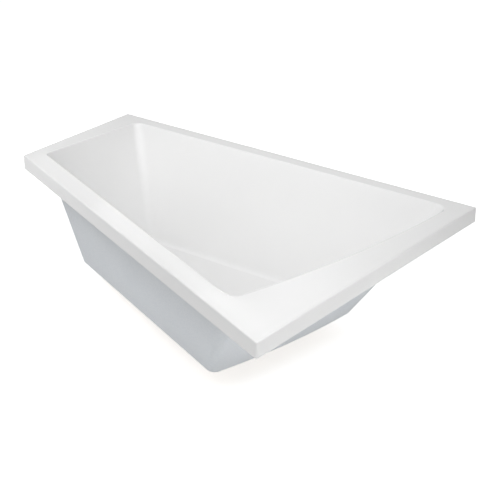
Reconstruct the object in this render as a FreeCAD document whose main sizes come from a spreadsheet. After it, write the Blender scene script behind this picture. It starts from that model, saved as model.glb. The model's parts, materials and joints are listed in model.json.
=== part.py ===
import FreeCAD, Part
import math
import os

import Sketcher

# Asymmetric built-in bathtub: a white acrylic shell with a flat trapezoidal rim, a grey fibre skin
# bonded to the outside of its basin, timber stiffeners, a levelling undercarriage and a floor waste.
# Millimetres, +Z up.  The origin lies on the floor, under the middle of the rim's bounding rectangle.
# Compass: back = +Y (the long straight side), front = -Y (the slanted side),
# narrow end = -X, wide end = +X (the sloping backrest).

# Rim: a right trapezoid with its right angles at the two back corners.
TUB_LENGTH = 1800.0  # along the back
WIDE_END = 1400.0  # across the wide end
NARROW_END = 657.0  # across the narrow end
RIM_HEIGHT = 600.0  # floor to rim top
APRON = 60.0  # height of the rim's down-turned edge
ACRYLIC = 5.0  # thickness of the acrylic sheet
EDGE_ROUND = 5.0  # rounding of the rim's outer edges
LIP_ROUND = 6.0  # rounding where the rim dips into the basin

# Ledges: from the rim's outer edge to the basin's edge.
BACK_LEDGE = 63.0
FRONT_LEDGE = 88.0  # square to the slanted front
NARROW_LEDGE_FRONT = 60.0
NARROW_LEDGE_BACK = 110.0
WIDE_LEDGE_FRONT = 262.0
WIDE_LEDGE_BACK = 81.0

# Basin: its floor lies inside these setbacks from the rim's outer edges.
FLOOR_BACK = 184.0
FLOOR_FRONT = 213.0  # square to the slanted front
FLOOR_NARROW_FRONT = 144.0
FLOOR_NARROW_BACK = 303.0
FLOOR_WIDE_FRONT = 557.0
FLOOR_WIDE_BACK = 434.0
BOW_RIM = 39.0  # outward bow of the backrest at the rim
BOW_FLOOR = 25.0  # outward bow of the backrest at the floor
FLOOR_ROUND = 22.0  # rounding between the floor and the walls
BASIN_OVERRUN = 6.0  # how far the basin is cut above the rim
CORNER_RIM_FRONT_NARROW = 30.0
CORNER_FLOOR_FRONT_NARROW = 28.0
CORNER_RIM_FRONT_WIDE = 50.0
CORNER_FLOOR_FRONT_WIDE = 28.0
CORNER_RIM_BACK_WIDE = 62.0
CORNER_FLOOR_BACK_WIDE = 28.0
CORNER_RIM_BACK_NARROW = 40.0
CORNER_FLOOR_BACK_NARROW = 50.0

# Skin, board and stiffeners.
BOND = 0.3  # adhesive line between bonded pieces
SKIN = 4.0  # thickness of the fibre skin
BOARD = 18.0  # thickness of the base board
BOARD_WRAP = 9.0  # skin beside the base board
BASE_ROUND = 6.0  # rounding of the skin's bottom edge
BATTEN = 18.0  # thickness of the rim stiffeners
BATTEN_GAP = 0.3  # gap beside the rim stiffeners

# Waste: its axis, the dish in the floor and the fitting itself.
DRAIN_BACK = 500.0  # waste axis from the back of the rim
DISH_DEPTH = 4.0
DISH_RADIUS = 44.0
HOLE_RADIUS = 27.0  # waste hole in the acrylic floor
SKIN_HOLE = 54.0  # radius of the opening in the skin
BOARD_HOLE = 66.0  # radius of the opening in the base board
SLIP = 0.3  # running gap between round pieces
OVERRUN = 1.0  # how far a cutter passes its piece
FLANGE_RADIUS = 40.0
FLANGE_THICK = 3.5
FLANGE_BEVEL = 1.5
FLANGE_SEAL_THICK = 1.5
FLANGE_SEAL_INSET = 3.0  # flange edge to the seal
SPIGOT_OUTER = 25.5
SPIGOT_BORE = 21.0
SPIGOT_LENGTH = 34.5
SEAT_DEPTH = 6.0  # cone that the plug's seal closes on
SEAT_FLARE = 6.5  # widening of the cone
SEAL_GAP = 0.5  # closed seal to the cone
HUB_RADIUS = 9.0
BAR_WIDTH = 4.0
BAR_HEIGHT = 5.0
BAR_RISE = 2.0  # strainer above the end of the spigot
BAR_BITE = 1.0  # strainer bars inside the wall of the spigot
STUD_RADIUS = 3.7
CARTRIDGE_RADIUS = 8.0
CARTRIDGE_HEIGHT = 21.0
CARTRIDGE_FLOOR = 3.0
STUD_TAIL = 1.0  # stud below the strainer
STEM_RADIUS = 5.0
STEM_LENGTH = 21.0
CAP_RADIUS = 33.0
CAP_THICK = 3.6
CAP_LIFT = 0.4  # gap under the closed cap
CAP_BEVEL = 1.0
CAP_SHOULDER = 2.5
CAP_BOSS = 7.0  # boss under the cap
CAP_GRIP = 5.0  # stem inside the boss
PLUG_SEAL_THICK = 5.0
BODY_SEAL_THICK = 4.0
BODY_SEAL_INSET = 4.0  # edge of the trap to its seal
BODY_SEAL_EASE = 1.0  # waste hole to the seal
BODY_RADIUS = 50.0
BODY_WALL = 3.5
BODY_HEIGHT = 73.0
BODY_TOP = 5.0
COLLAR_RADIUS = 34.0
COLLAR_HEIGHT = 38.0
THREAD_HEIGHT = 20.0  # collar length that grips the spigot
TUBE_OUTER = 30.0
TUBE_WALL = 2.5
TUBE_LENGTH = 46.0
BOWL_SEAL_THICK = 3.0
BOWL_BOTTOM = 4.0
GRIP_LENGTH = 84.0  # bar under the bowl, to turn it by
GRIP_WIDTH = 8.0
GRIP_HEIGHT = 9.0
BOWL_RING = 12.0  # height of the bowl's screw ring
BOWL_RING_WALL = 3.0
CUP_RADIUS = 42.0
CUP_WALL = 2.5
CUP_HEIGHT = 54.0
OUTLET_DROP = 44.0  # outlet's axis below the top of the trap
OUTLET_REACH = 80.0  # waste axis to the end of the socket
SOCKET_RADIUS = 23.0
SOCKET_DEPTH = 22.0
BORE_ENTRY = 8.0  # outlet bore inside the trap
PIPE_RADIUS = 20.0
PIPE_WALL = 2.0
PIPE_LENGTH = 300.0
MARK_WIDTH = 2.0  # insertion mark round the pipe
MARK_DEPTH = 0.5
PIPE_SEAL_THICK = 3.0
NUT_ACROSS = 56.0  # outlet nut, across its flats
NUT_LENGTH = 22.0
NUT_LIP = 5.0
NUT_BEVEL = 1.2  # corners turned off at the ends of the nuts

# Undercarriage: two hat-section rails, each with two screw feet.
RAIL_NARROW_SETBACK = 430.0  # rail from the narrow end of the rim
RAIL_WIDE_SETBACK = 710.0  # rail from the wide end of the rim
FOOT_FRONT_SETBACK = 145.0  # foot from the front edge of the basin's floor
FOOT_BACK_SETBACK = 75.0  # foot from the back edge of the basin's floor
RAIL_END = 32.0  # rail beyond each foot's axis
RAIL_HEIGHT = 22.0
RAIL_WEB = 36.0
RAIL_FLANGE = 17.0
RAIL_STEEL = 2.0
RAIL_BEND = 3.0  # outside of the bends
SCREW_RADIUS = 2.2
SCREW_LENGTH = 14.0  # screw in the base board
SCREW_HEAD = 4.4
SCREW_HEAD_HEIGHT = 2.6
SCREW_BEVEL = 1.0
SCREW_TIP = 3.0
SCREW_INSET = 12.0  # screw from the rail's end
PILOT_SPARE = 1.0  # pilot hole beyond the screw
SPINDLE_RADIUS = 6.0
SPINDLE_LENGTH = 58.0
SPINDLE_BEVEL = 1.5
SPINDLE_GAP = 19.7  # end of the spindle to the base board, to turn the foot in by
NUT_FLATS = 19.0
FIXED_NUT_HEIGHT = 10.0
LOCK_NUT_HEIGHT = 8.0
COLLAR_FLATS = 17.0
HEX_COLLAR_HEIGHT = 8.0
COLLAR_GAP = 3.0  # pad to the spindle's collar
PAD_RADIUS = 25.0
PAD_EDGE = 5.0
PAD_NECK = 13.0
PAD_HEIGHT = 22.0
PAD_SOCKET = 10.0
PAD_BEVEL = 1.0
PAD_NECK_HEIGHT = 6.0

doc = FreeCAD.newDocument("bathtub")
sheet = doc.addObject("Spreadsheet::Sheet", "Sizes")


class Size:
    """A dimension: its number, and the formula that ties it to the sheet."""

    def __init__(self, value, text):
        self.value = float(value)
        self.text = text

    def __add__(self, other):
        other = as_size(other)
        return Size(self.value + other.value, "(%s + %s)" % (self.text, other.text))

    def __sub__(self, other):
        other = as_size(other)
        return Size(self.value - other.value, "(%s - %s)" % (self.text, other.text))

    def __mul__(self, other):
        other = as_size(other)
        return Size(self.value * other.value, "(%s * %s)" % (self.text, other.text))

    def __truediv__(self, other):
        other = as_size(other)
        return Size(self.value / other.value, "(%s / %s)" % (self.text, other.text))


def as_size(number):
    if isinstance(number, Size):
        return number
    return Size(number, repr(float(number)))


class Book:
    """Writes the sheet, one row for each dimension, and hands the dimension back."""

    def __init__(self):
        self.row = 0

    def put(self, alias, number):
        self.row = self.row + 1
        sheet.set("A%d" % self.row, alias)
        sheet.set("B%d" % self.row, repr(float(number)))
        sheet.setAlias("B%d" % self.row, alias)
        return Size(number, "Sizes." + alias)


book = Book()

# Every size gets its row in the sheet.
tub_length = book.put("tub_length", TUB_LENGTH)
wide_end = book.put("wide_end", WIDE_END)
narrow_end = book.put("narrow_end", NARROW_END)
rim_height = book.put("rim_height", RIM_HEIGHT)
apron = book.put("apron", APRON)
acrylic = book.put("acrylic", ACRYLIC)
edge_round = book.put("edge_round", EDGE_ROUND)
lip_round = book.put("lip_round", LIP_ROUND)

back_ledge = book.put("back_ledge", BACK_LEDGE)
front_ledge = book.put("front_ledge", FRONT_LEDGE)
narrow_ledge_front = book.put("narrow_ledge_front", NARROW_LEDGE_FRONT)
narrow_ledge_back = book.put("narrow_ledge_back", NARROW_LEDGE_BACK)
wide_ledge_front = book.put("wide_ledge_front", WIDE_LEDGE_FRONT)
wide_ledge_back = book.put("wide_ledge_back", WIDE_LEDGE_BACK)

floor_back = book.put("floor_back", FLOOR_BACK)
floor_front = book.put("floor_front", FLOOR_FRONT)
floor_narrow_front = book.put("floor_narrow_front", FLOOR_NARROW_FRONT)
floor_narrow_back = book.put("floor_narrow_back", FLOOR_NARROW_BACK)
floor_wide_front = book.put("floor_wide_front", FLOOR_WIDE_FRONT)
floor_wide_back = book.put("floor_wide_back", FLOOR_WIDE_BACK)
bow_rim = book.put("bow_rim", BOW_RIM)
bow_floor = book.put("bow_floor", BOW_FLOOR)
floor_round = book.put("floor_round", FLOOR_ROUND)
basin_overrun = book.put("basin_overrun", BASIN_OVERRUN)
corner_rim = {}
corner_floor = {}
corner_rim["front_narrow"] = book.put("corner_rim_front_narrow", CORNER_RIM_FRONT_NARROW)
corner_floor["front_narrow"] = book.put("corner_floor_front_narrow", CORNER_FLOOR_FRONT_NARROW)
corner_rim["front_wide"] = book.put("corner_rim_front_wide", CORNER_RIM_FRONT_WIDE)
corner_floor["front_wide"] = book.put("corner_floor_front_wide", CORNER_FLOOR_FRONT_WIDE)
corner_rim["back_wide"] = book.put("corner_rim_back_wide", CORNER_RIM_BACK_WIDE)
corner_floor["back_wide"] = book.put("corner_floor_back_wide", CORNER_FLOOR_BACK_WIDE)
corner_rim["back_narrow"] = book.put("corner_rim_back_narrow", CORNER_RIM_BACK_NARROW)
corner_floor["back_narrow"] = book.put("corner_floor_back_narrow", CORNER_FLOOR_BACK_NARROW)

bond = book.put("bond", BOND)
skin = book.put("skin", SKIN)
board = book.put("board", BOARD)
board_wrap = book.put("board_wrap", BOARD_WRAP)
base_round = book.put("base_round", BASE_ROUND)
batten = book.put("batten", BATTEN)
batten_gap = book.put("batten_gap", BATTEN_GAP)

drain_back = book.put("drain_back", DRAIN_BACK)
dish_depth = book.put("dish_depth", DISH_DEPTH)
dish_radius = book.put("dish_radius", DISH_RADIUS)
hole_radius = book.put("hole_radius", HOLE_RADIUS)
skin_hole = book.put("skin_hole", SKIN_HOLE)
board_hole = book.put("board_hole", BOARD_HOLE)
slip = book.put("slip", SLIP)
overrun = book.put("overrun", OVERRUN)
flange_radius = book.put("flange_radius", FLANGE_RADIUS)
flange_thick = book.put("flange_thick", FLANGE_THICK)
flange_bevel = book.put("flange_bevel", FLANGE_BEVEL)
flange_seal_thick = book.put("flange_seal_thick", FLANGE_SEAL_THICK)
flange_seal_inset = book.put("flange_seal_inset", FLANGE_SEAL_INSET)
spigot_outer = book.put("spigot_outer", SPIGOT_OUTER)
spigot_bore = book.put("spigot_bore", SPIGOT_BORE)
spigot_length = book.put("spigot_length", SPIGOT_LENGTH)
seat_depth = book.put("seat_depth", SEAT_DEPTH)
seat_flare = book.put("seat_flare", SEAT_FLARE)
seal_gap = book.put("seal_gap", SEAL_GAP)
hub_radius = book.put("hub_radius", HUB_RADIUS)
bar_width = book.put("bar_width", BAR_WIDTH)
bar_height = book.put("bar_height", BAR_HEIGHT)
bar_rise = book.put("bar_rise", BAR_RISE)
bar_bite = book.put("bar_bite", BAR_BITE)
stud_radius = book.put("stud_radius", STUD_RADIUS)
cartridge_radius = book.put("cartridge_radius", CARTRIDGE_RADIUS)
cartridge_height = book.put("cartridge_height", CARTRIDGE_HEIGHT)
cartridge_floor = book.put("cartridge_floor", CARTRIDGE_FLOOR)
stud_tail = book.put("stud_tail", STUD_TAIL)
stem_radius = book.put("stem_radius", STEM_RADIUS)
stem_length = book.put("stem_length", STEM_LENGTH)
cap_radius = book.put("cap_radius", CAP_RADIUS)
cap_thick = book.put("cap_thick", CAP_THICK)
cap_lift = book.put("cap_lift", CAP_LIFT)
cap_bevel = book.put("cap_bevel", CAP_BEVEL)
cap_shoulder = book.put("cap_shoulder", CAP_SHOULDER)
cap_boss = book.put("cap_boss", CAP_BOSS)
cap_grip = book.put("cap_grip", CAP_GRIP)
plug_seal_thick = book.put("plug_seal_thick", PLUG_SEAL_THICK)
body_seal_thick = book.put("body_seal_thick", BODY_SEAL_THICK)
body_seal_inset = book.put("body_seal_inset", BODY_SEAL_INSET)
body_seal_ease = book.put("body_seal_ease", BODY_SEAL_EASE)
body_radius = book.put("body_radius", BODY_RADIUS)
body_wall = book.put("body_wall", BODY_WALL)
body_height = book.put("body_height", BODY_HEIGHT)
body_top = book.put("body_top", BODY_TOP)
collar_radius = book.put("collar_radius", COLLAR_RADIUS)
collar_height = book.put("collar_height", COLLAR_HEIGHT)
thread_height = book.put("thread_height", THREAD_HEIGHT)
tube_outer = book.put("tube_outer", TUBE_OUTER)
tube_wall = book.put("tube_wall", TUBE_WALL)
tube_length = book.put("tube_length", TUBE_LENGTH)
bowl_seal_thick = book.put("bowl_seal_thick", BOWL_SEAL_THICK)
bowl_bottom = book.put("bowl_bottom", BOWL_BOTTOM)
grip_length = book.put("grip_length", GRIP_LENGTH)
grip_width = book.put("grip_width", GRIP_WIDTH)
grip_height = book.put("grip_height", GRIP_HEIGHT)
bowl_ring = book.put("bowl_ring", BOWL_RING)
bowl_ring_wall = book.put("bowl_ring_wall", BOWL_RING_WALL)
cup_radius = book.put("cup_radius", CUP_RADIUS)
cup_wall = book.put("cup_wall", CUP_WALL)
cup_height = book.put("cup_height", CUP_HEIGHT)
outlet_drop = book.put("outlet_drop", OUTLET_DROP)
outlet_reach = book.put("outlet_reach", OUTLET_REACH)
socket_radius = book.put("socket_radius", SOCKET_RADIUS)
socket_depth = book.put("socket_depth", SOCKET_DEPTH)
bore_entry = book.put("bore_entry", BORE_ENTRY)
pipe_radius = book.put("pipe_radius", PIPE_RADIUS)
pipe_wall = book.put("pipe_wall", PIPE_WALL)
pipe_length = book.put("pipe_length", PIPE_LENGTH)
mark_width = book.put("mark_width", MARK_WIDTH)
mark_depth = book.put("mark_depth", MARK_DEPTH)
pipe_seal_thick = book.put("pipe_seal_thick", PIPE_SEAL_THICK)
nut_across = book.put("nut_across", NUT_ACROSS)
nut_length = book.put("nut_length", NUT_LENGTH)
nut_lip = book.put("nut_lip", NUT_LIP)
nut_bevel = book.put("nut_bevel", NUT_BEVEL)

rail_narrow_setback = book.put("rail_narrow_setback", RAIL_NARROW_SETBACK)
rail_wide_setback = book.put("rail_wide_setback", RAIL_WIDE_SETBACK)
foot_front_setback = book.put("foot_front_setback", FOOT_FRONT_SETBACK)
foot_back_setback = book.put("foot_back_setback", FOOT_BACK_SETBACK)
rail_end = book.put("rail_end", RAIL_END)
rail_height = book.put("rail_height", RAIL_HEIGHT)
rail_web = book.put("rail_web", RAIL_WEB)
rail_flange = book.put("rail_flange", RAIL_FLANGE)
rail_steel = book.put("rail_steel", RAIL_STEEL)
rail_bend = book.put("rail_bend", RAIL_BEND)
screw_radius = book.put("screw_radius", SCREW_RADIUS)
screw_length = book.put("screw_length", SCREW_LENGTH)
screw_head = book.put("screw_head", SCREW_HEAD)
screw_head_height = book.put("screw_head_height", SCREW_HEAD_HEIGHT)
screw_bevel = book.put("screw_bevel", SCREW_BEVEL)
screw_tip = book.put("screw_tip", SCREW_TIP)
screw_inset = book.put("screw_inset", SCREW_INSET)
pilot_spare = book.put("pilot_spare", PILOT_SPARE)
spindle_radius = book.put("spindle_radius", SPINDLE_RADIUS)
spindle_length = book.put("spindle_length", SPINDLE_LENGTH)
spindle_bevel = book.put("spindle_bevel", SPINDLE_BEVEL)
spindle_gap = book.put("spindle_gap", SPINDLE_GAP)
nut_flats = book.put("nut_flats", NUT_FLATS)
fixed_nut_height = book.put("fixed_nut_height", FIXED_NUT_HEIGHT)
lock_nut_height = book.put("lock_nut_height", LOCK_NUT_HEIGHT)
collar_flats = book.put("collar_flats", COLLAR_FLATS)
hex_collar_height = book.put("hex_collar_height", HEX_COLLAR_HEIGHT)
collar_gap = book.put("collar_gap", COLLAR_GAP)
pad_radius = book.put("pad_radius", PAD_RADIUS)
pad_edge = book.put("pad_edge", PAD_EDGE)
pad_neck = book.put("pad_neck", PAD_NECK)
pad_height = book.put("pad_height", PAD_HEIGHT)
pad_socket = book.put("pad_socket", PAD_SOCKET)
pad_bevel = book.put("pad_bevel", PAD_BEVEL)
pad_neck_height = book.put("pad_neck_height", PAD_NECK_HEIGHT)


# Levels, stacked up from the ground: feet, rails, board, skin, acrylic floor.
rod_low = pad_height - pad_socket
base_z = rod_low + spindle_length + spindle_gap
skin_under = base_z + board
shell_under = skin_under + skin + bond
floor_z = shell_under + acrylic
ledge_under = rim_height - acrylic
basin_depth = rim_height - floor_z

# The rim's corners and the basin's section at any level.
# Sides run front, wide end, back, narrow end, anticlockwise seen from above.
CORNERS = ("front_narrow", "front_wide", "back_wide", "back_narrow")
half_length = tub_length.value / 2
half_width = wide_end.value / 2
RIM = ((-half_length, half_width - narrow_end.value), (half_length, -half_width),
       (half_length, half_width), (-half_length, half_width))


def unit(start, end):
    dx = end[0] - start[0]
    dy = end[1] - start[1]
    run = math.hypot(dx, dy)
    return dx / run, dy / run


def shifted(start, end, distance):
    """The line from start to end, moved to its right by a distance."""
    ux, uy = unit(start, end)
    move = (uy * distance, -ux * distance)
    return (start[0] + move[0], start[1] + move[1]), (ux, uy)


def crossing(line_a, line_b):
    (ax, ay), (ux, uy) = line_a
    (bx, by), (vx, vy) = line_b
    turn = ux * vy - uy * vx
    along = ((bx - ax) * vy - (by - ay) * vx) / turn
    return ax + ux * along, ay + uy * along


def offset_loop(points, distances):
    """A closed loop whose sides are moved outward, each by its own distance."""
    count = len(points)
    lines = []
    for i in range(count):
        lines.append(shifted(points[i], points[(i + 1) % count], distances[i]))
    moved = []
    for i in range(count):
        moved.append(crossing(lines[i - 1], lines[i]))
    return moved


def setback_loop(front, back, narrow_front, narrow_back, wide_front, wide_back):
    """Four corners inside the rim, from setbacks."""
    line, along = shifted(RIM[0], RIM[1], -front)
    slope = along[1] / along[0]
    x_fn = -half_length + narrow_front
    x_fw = half_length - wide_front
    y_back = half_width - back
    return [(x_fn, line[1] + slope * (x_fn - line[0])), (x_fw, line[1] + slope * (x_fw - line[0])),
            (half_length - wide_back, y_back), (-half_length + narrow_back, y_back)]


top_loop = setback_loop(front_ledge.value, back_ledge.value, narrow_ledge_front.value,
                        narrow_ledge_back.value, wide_ledge_front.value, wide_ledge_back.value)
floor_loop = setback_loop(floor_front.value, floor_back.value, floor_narrow_front.value,
                          floor_narrow_back.value, floor_wide_front.value, floor_wide_back.value)


def floor_front(x):
    """Where the front edge of the basin's floor lies, at a distance along the bath."""
    (ax, ay), (bx, by) = floor_loop[0], floor_loop[1]
    return ay + (by - ay) * (x - ax) / (bx - ax)


# Rails stand off the rim's ends, feet off the edges of the basin's floor, the waste midway between the rails.
rail_narrow_x = rail_narrow_setback - tub_length / 2.0
rail_wide_x = tub_length / 2.0 - rail_wide_setback
foot_a_y = book.put("floor_front_narrow", floor_front(rail_narrow_x.value)) + foot_front_setback
foot_c_y = book.put("floor_front_wide", floor_front(rail_wide_x.value)) + foot_front_setback
foot_b_y = wide_end / 2.0 - floor_back - foot_back_setback
foot_d_y = foot_b_y
drain_x = (rail_narrow_x + rail_wide_x) / 2.0
drain_y = wide_end / 2.0 - drain_back


def wall_stretch(side):
    """Horizontal distance through a leaning wall, for each millimetre of its thickness."""
    a, b = top_loop[side], top_loop[(side + 1) % 4]
    c, d = floor_loop[side], floor_loop[(side + 1) % 4]
    ux, uy = unit(a, b)
    dx = (c[0] + d[0] - a[0] - b[0]) / 2
    dy = (c[1] + d[1] - a[1] - b[1]) / 2
    lean = (-uy * dx + ux * dy) / basin_depth.value
    return math.hypot(1.0, lean)


STRETCH = [wall_stretch(side) for side in range(4)]


def section(name, level, offset):
    """Writes one basin section to the sheet: four corners, four corner radii and the backrest's bow."""
    share = (rim_height.value - level) / basin_depth.value
    loop = []
    for a, c in zip(top_loop, floor_loop):
        loop.append((a[0] + (c[0] - a[0]) * share, a[1] + (c[1] - a[1]) * share))
    loop = offset_loop(loop, [offset * stretch for stretch in STRETCH])
    points = []
    radii = []
    for corner, point in zip(CORNERS, loop):
        points.append((book.put("%s_x_%s" % (name, corner), point[0]),
                       book.put("%s_y_%s" % (name, corner), point[1])))
        radius = corner_rim[corner].value * (1 - share) + corner_floor[corner].value * share + offset
        radii.append(book.put("%s_r_%s" % (name, corner), radius))
    bow = bow_rim.value * (1 - share) + bow_floor.value * share
    chord = math.hypot(loop[2][0] - loop[1][0], loop[2][1] - loop[1][1])
    back_radius = book.put(name + "_backrest", (chord * chord / 4 + bow * bow) / (2 * bow))
    return {"level": book.put(name + "_level", level), "points": points, "radii": radii, "arc": back_radius,
            "bow": bow}


# Drawing helpers: every sketch is held by its corners' coordinates, tied to the sheet.
def origin_plane(body, role):
    for feature in body.Origin.OriginFeatures:
        if feature.Role == role:
            return feature
    raise ValueError("no plane " + role)


def new_body(label):
    body = doc.addObject("PartDesign::Body", label)
    body.Label = label
    return body


def flat_sketch(body, name, level):
    """A sketch parallel to the floor, at a level."""
    sketch = body.newObject("Sketcher::SketchObject", name)
    sketch.AttachmentSupport = [(origin_plane(body, "XY_Plane"), "")]
    sketch.MapMode = "FlatFace"
    sketch.setExpression("AttachmentOffset.Base.z", level.text)
    return sketch


def upright_sketch(body, name, role="XZ_Plane"):
    sketch = body.newObject("Sketcher::SketchObject", name)
    sketch.AttachmentSupport = [(origin_plane(body, role), "")]
    sketch.MapMode = "FlatFace"
    return sketch


def tie(sketch, kind, value, *where):
    index = sketch.addConstraint(Sketcher.Constraint(kind, *where, value.value))
    sketch.setExpression("Constraints[%d]" % index, value.text)
    return index


def pin(sketch, geometry, vertex, point):
    """Holds a vertex at its coordinates."""
    for kind, value in (("DistanceX", point[0]), ("DistanceY", point[1])):
        tie(sketch, kind, value, -1, 1, geometry, vertex)


def vector(point):
    return FreeCAD.Vector(point[0].value, point[1].value, 0)


def polygon(sketch, points):
    """A closed polygon held at its corners."""
    points = [(as_size(x), as_size(y)) for x, y in points]
    first = sketch.GeometryCount
    count = len(points)
    for i in range(count):
        sketch.addGeometry(Part.LineSegment(vector(points[i]), vector(points[(i + 1) % count])), False)
    for i in range(count):
        sketch.addConstraint(Sketcher.Constraint("Coincident", first + i, 2, first + (i + 1) % count, 1))
    for i in range(count):
        pin(sketch, first + i, 1, points[i])


def circle(sketch, centre, radius):
    middle = (as_size(centre[0]), as_size(centre[1]))
    index = sketch.addGeometry(Part.Circle(vector(middle), FreeCAD.Vector(0, 0, 1), radius.value), False)
    tie(sketch, "Radius", radius, index)
    pin(sketch, index, 3, middle)


def basin_wire(sketch, part):
    """A four-sided ring: three straight sides and the bowed backrest."""
    points = [vector(point) for point in part["points"]]
    sides = []
    for i in range(4):
        start = points[i]
        end = points[(i + 1) % 4]
        if i == 1:
            along = (end - start).normalize()
            outward = FreeCAD.Vector(along.y, -along.x, 0)
            arc = Part.Arc(start, (start + end) * 0.5 + outward * part["bow"], end)
            sides.append(sketch.addGeometry(arc, False))
        else:
            sides.append(sketch.addGeometry(Part.LineSegment(start, end), False))
    for i in range(4):
        sketch.addConstraint(Sketcher.Constraint("Coincident", sides[i], 2, sides[(i + 1) % 4], 1))
    for i in (0, 2, 3):
        pin(sketch, sides[i], 1, part["points"][i])
    pin(sketch, sides[0], 2, part["points"][1])
    tie(sketch, "Radius", part["arc"], sides[1])


def corner_edges(shape, spots):
    """The edge that runs down from each corner, by its number in the shape."""
    found = []
    for spot in spots:
        best = None
        for index, edge in enumerate(shape.Edges):
            tall = edge.BoundBox.ZLength > 0.9 * shape.BoundBox.ZLength
            ends = [vertex.Point for vertex in edge.Vertexes]
            near = min([(end - spot).Length for end in ends])
            if tall and near < 0.01:
                best = index + 1
        if best is None:
            raise ValueError("no edge at a corner")
        found.append(best)
    return found


def radius_pair(edge, upper, lower):
    """Radii at an edge's two ends, the upper end's first if the edge starts there."""
    if edge.Vertexes[0].Point.z > edge.Vertexes[-1].Point.z:
        return upper, lower
    return lower, upper


def part_fillet(label, base, edges):
    """Rounds edges given as (number, first radius, last radius)."""
    thing = doc.addObject("Part::Fillet", label)
    thing.Label = label
    thing.Base = base
    thing.Edges = edges
    doc.recompute()
    return thing


def basin_form(name, upper, lower, low_round):
    """A solid of the basin's shape: ruled walls, corners that widen downward, a rounded bottom edge."""
    drawings = []
    for end, part in (("upper", upper), ("lower", lower)):
        sketch = doc.addObject("Sketcher::SketchObject", "%s_%s" % (name, end))
        sketch.setExpression("Placement.Base.z", part["level"].text)
        basin_wire(sketch, part)
        drawings.append(sketch)
    doc.recompute()
    walls = doc.addObject("Part::Loft", name + "_walls")
    walls.Sections = drawings
    walls.Solid = True
    walls.Ruled = True
    doc.recompute()
    shape = walls.Shape
    spots = []
    for x, y in upper["points"]:
        spots.append(FreeCAD.Vector(x.value, y.value, upper["level"].value))
    edges = []
    for i, number in enumerate(corner_edges(shape, spots)):
        first, last = radius_pair(shape.Edges[number - 1], upper["radii"][i].value, lower["radii"][i].value)
        edges.append((number, first, last))
    corners = part_fillet(name + "_corners", walls, edges)
    lowest = at_level(lower["level"].value)
    low = []
    for index, edge in enumerate(corners.Shape.Edges):
        if lowest(edge):
            low.append((index + 1, low_round.value, low_round.value))
    return part_fillet(name, corners, low)


def extrude(body, kind, name, sketch, length, reverse=False):
    """A pad or a pocket of a fixed length."""
    before = body.Shape.Volume if kind == "Pocket" else 0.0
    feature = body.newObject("PartDesign::" + kind, name)
    feature.Profile = (sketch, [""])
    feature.Type = 0
    feature.setExpression("Length", length.text)
    feature.Reversed = reverse
    doc.recompute()
    if kind == "Pocket" and feature.Shape.Volume > before - 1.0:
        raise ValueError("%s removes nothing" % name)
    return feature


def rounded(body, name, radius, chosen):
    """Rounds the edges of the body's last feature that the test picks."""
    base = body.Tip
    names = []
    for index, edge in enumerate(base.Shape.Edges):
        if chosen(edge):
            names.append("Edge%d" % (index + 1))
    feature = body.newObject("PartDesign::Fillet", name)
    feature.Base = (base, names)
    feature.setExpression("Radius", radius.text)
    doc.recompute()
    return feature


def at_level(level):
    """Picks edges that lie flat at one level."""
    def test(edge):
        box = edge.BoundBox
        return abs(box.ZMin - level) < 0.01 and abs(box.ZMax - level) < 0.01
    return test


def place(thing, x, y, z):
    for axis, value in (("x", x), ("y", y), ("z", z)):
        value = as_size(value)
        setattr(thing.Placement.Base, axis, value.value)
        thing.setExpression("Placement.Base." + axis, value.text)


def turned(label, points, x, y, z=0.0):
    """A body turned about an upright axis; points are (radius, height)."""
    body = new_body(label)
    sketch = upright_sketch(body, label + "_profile")
    polygon(sketch, points)
    doc.recompute()
    feature = body.newObject("PartDesign::Revolution", label + "_turn")
    feature.Profile = (sketch, [""])
    feature.ReferenceAxis = (sketch, ["V_Axis"])
    feature.Angle = 360.0
    doc.recompute()
    place(body, x, y, z)
    return body


def cylinder(name, radius, height, x, y, z):
    thing = doc.addObject("Part::Cylinder", name)
    thing.setExpression("Radius", as_size(radius).text)
    thing.setExpression("Height", as_size(height).text)
    place(thing, x, y, z)
    return thing


def lying_cylinder(name, radius, length, x, y, z):
    """A cylinder along +Y from its first end."""
    thing = doc.addObject("Part::Cylinder", name)
    thing.setExpression("Radius", as_size(radius).text)
    thing.setExpression("Height", as_size(length).text)
    thing.Placement = FreeCAD.Placement(FreeCAD.Vector(), FreeCAD.Rotation(FreeCAD.Vector(1, 0, 0), -90))
    place(thing, x, y, z)
    return thing


def hexagon(name, flats, height, x, y, z, lying=False):
    thing = doc.addObject("Part::Prism", name)
    thing.Polygon = 6
    thing.setExpression("Circumradius", (flats / math.sqrt(3.0)).text)
    thing.setExpression("Height", as_size(height).text)
    if lying:
        thing.Placement = FreeCAD.Placement(FreeCAD.Vector(), FreeCAD.Rotation(FreeCAD.Vector(1, 0, 0), -90))
    place(thing, x, y, z)
    return thing


def bevelled_hexagon(name, flats, height, x, y, z, lying=False):
    """A hexagon whose corners are turned off at both ends."""
    prism = hexagon(name + "_prism", flats, height, x, y, z, lying)
    near = flats * 0.48
    far = near + nut_bevel * math.sqrt(3.0) * 2.0
    barrel = turned(name + "_barrel", [
        (0.0, 0.0), (near, 0.0), (far, nut_bevel * 2.0), (far, height - nut_bevel * 2.0), (near, height),
        (0.0, height)], x, y, z)
    if lying:
        barrel.Placement.Rotation = FreeCAD.Rotation(FreeCAD.Vector(1, 0, 0), -90)
    thing = doc.addObject("Part::Common", name)
    thing.Base = prism
    thing.Tool = barrel
    return thing


def fused(label, pieces):
    thing = doc.addObject("Part::MultiFuse", label)
    thing.Label = label
    thing.Shapes = pieces
    thing.Refine = True
    return thing


def cut(label, base, tools):
    tool = tools[0]
    if len(tools) > 1:
        tool = fused(label + "_tools", tools)
    thing = doc.addObject("Part::Cut", label)
    thing.Label = label
    thing.Base = base
    thing.Tool = tool
    return thing


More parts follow.
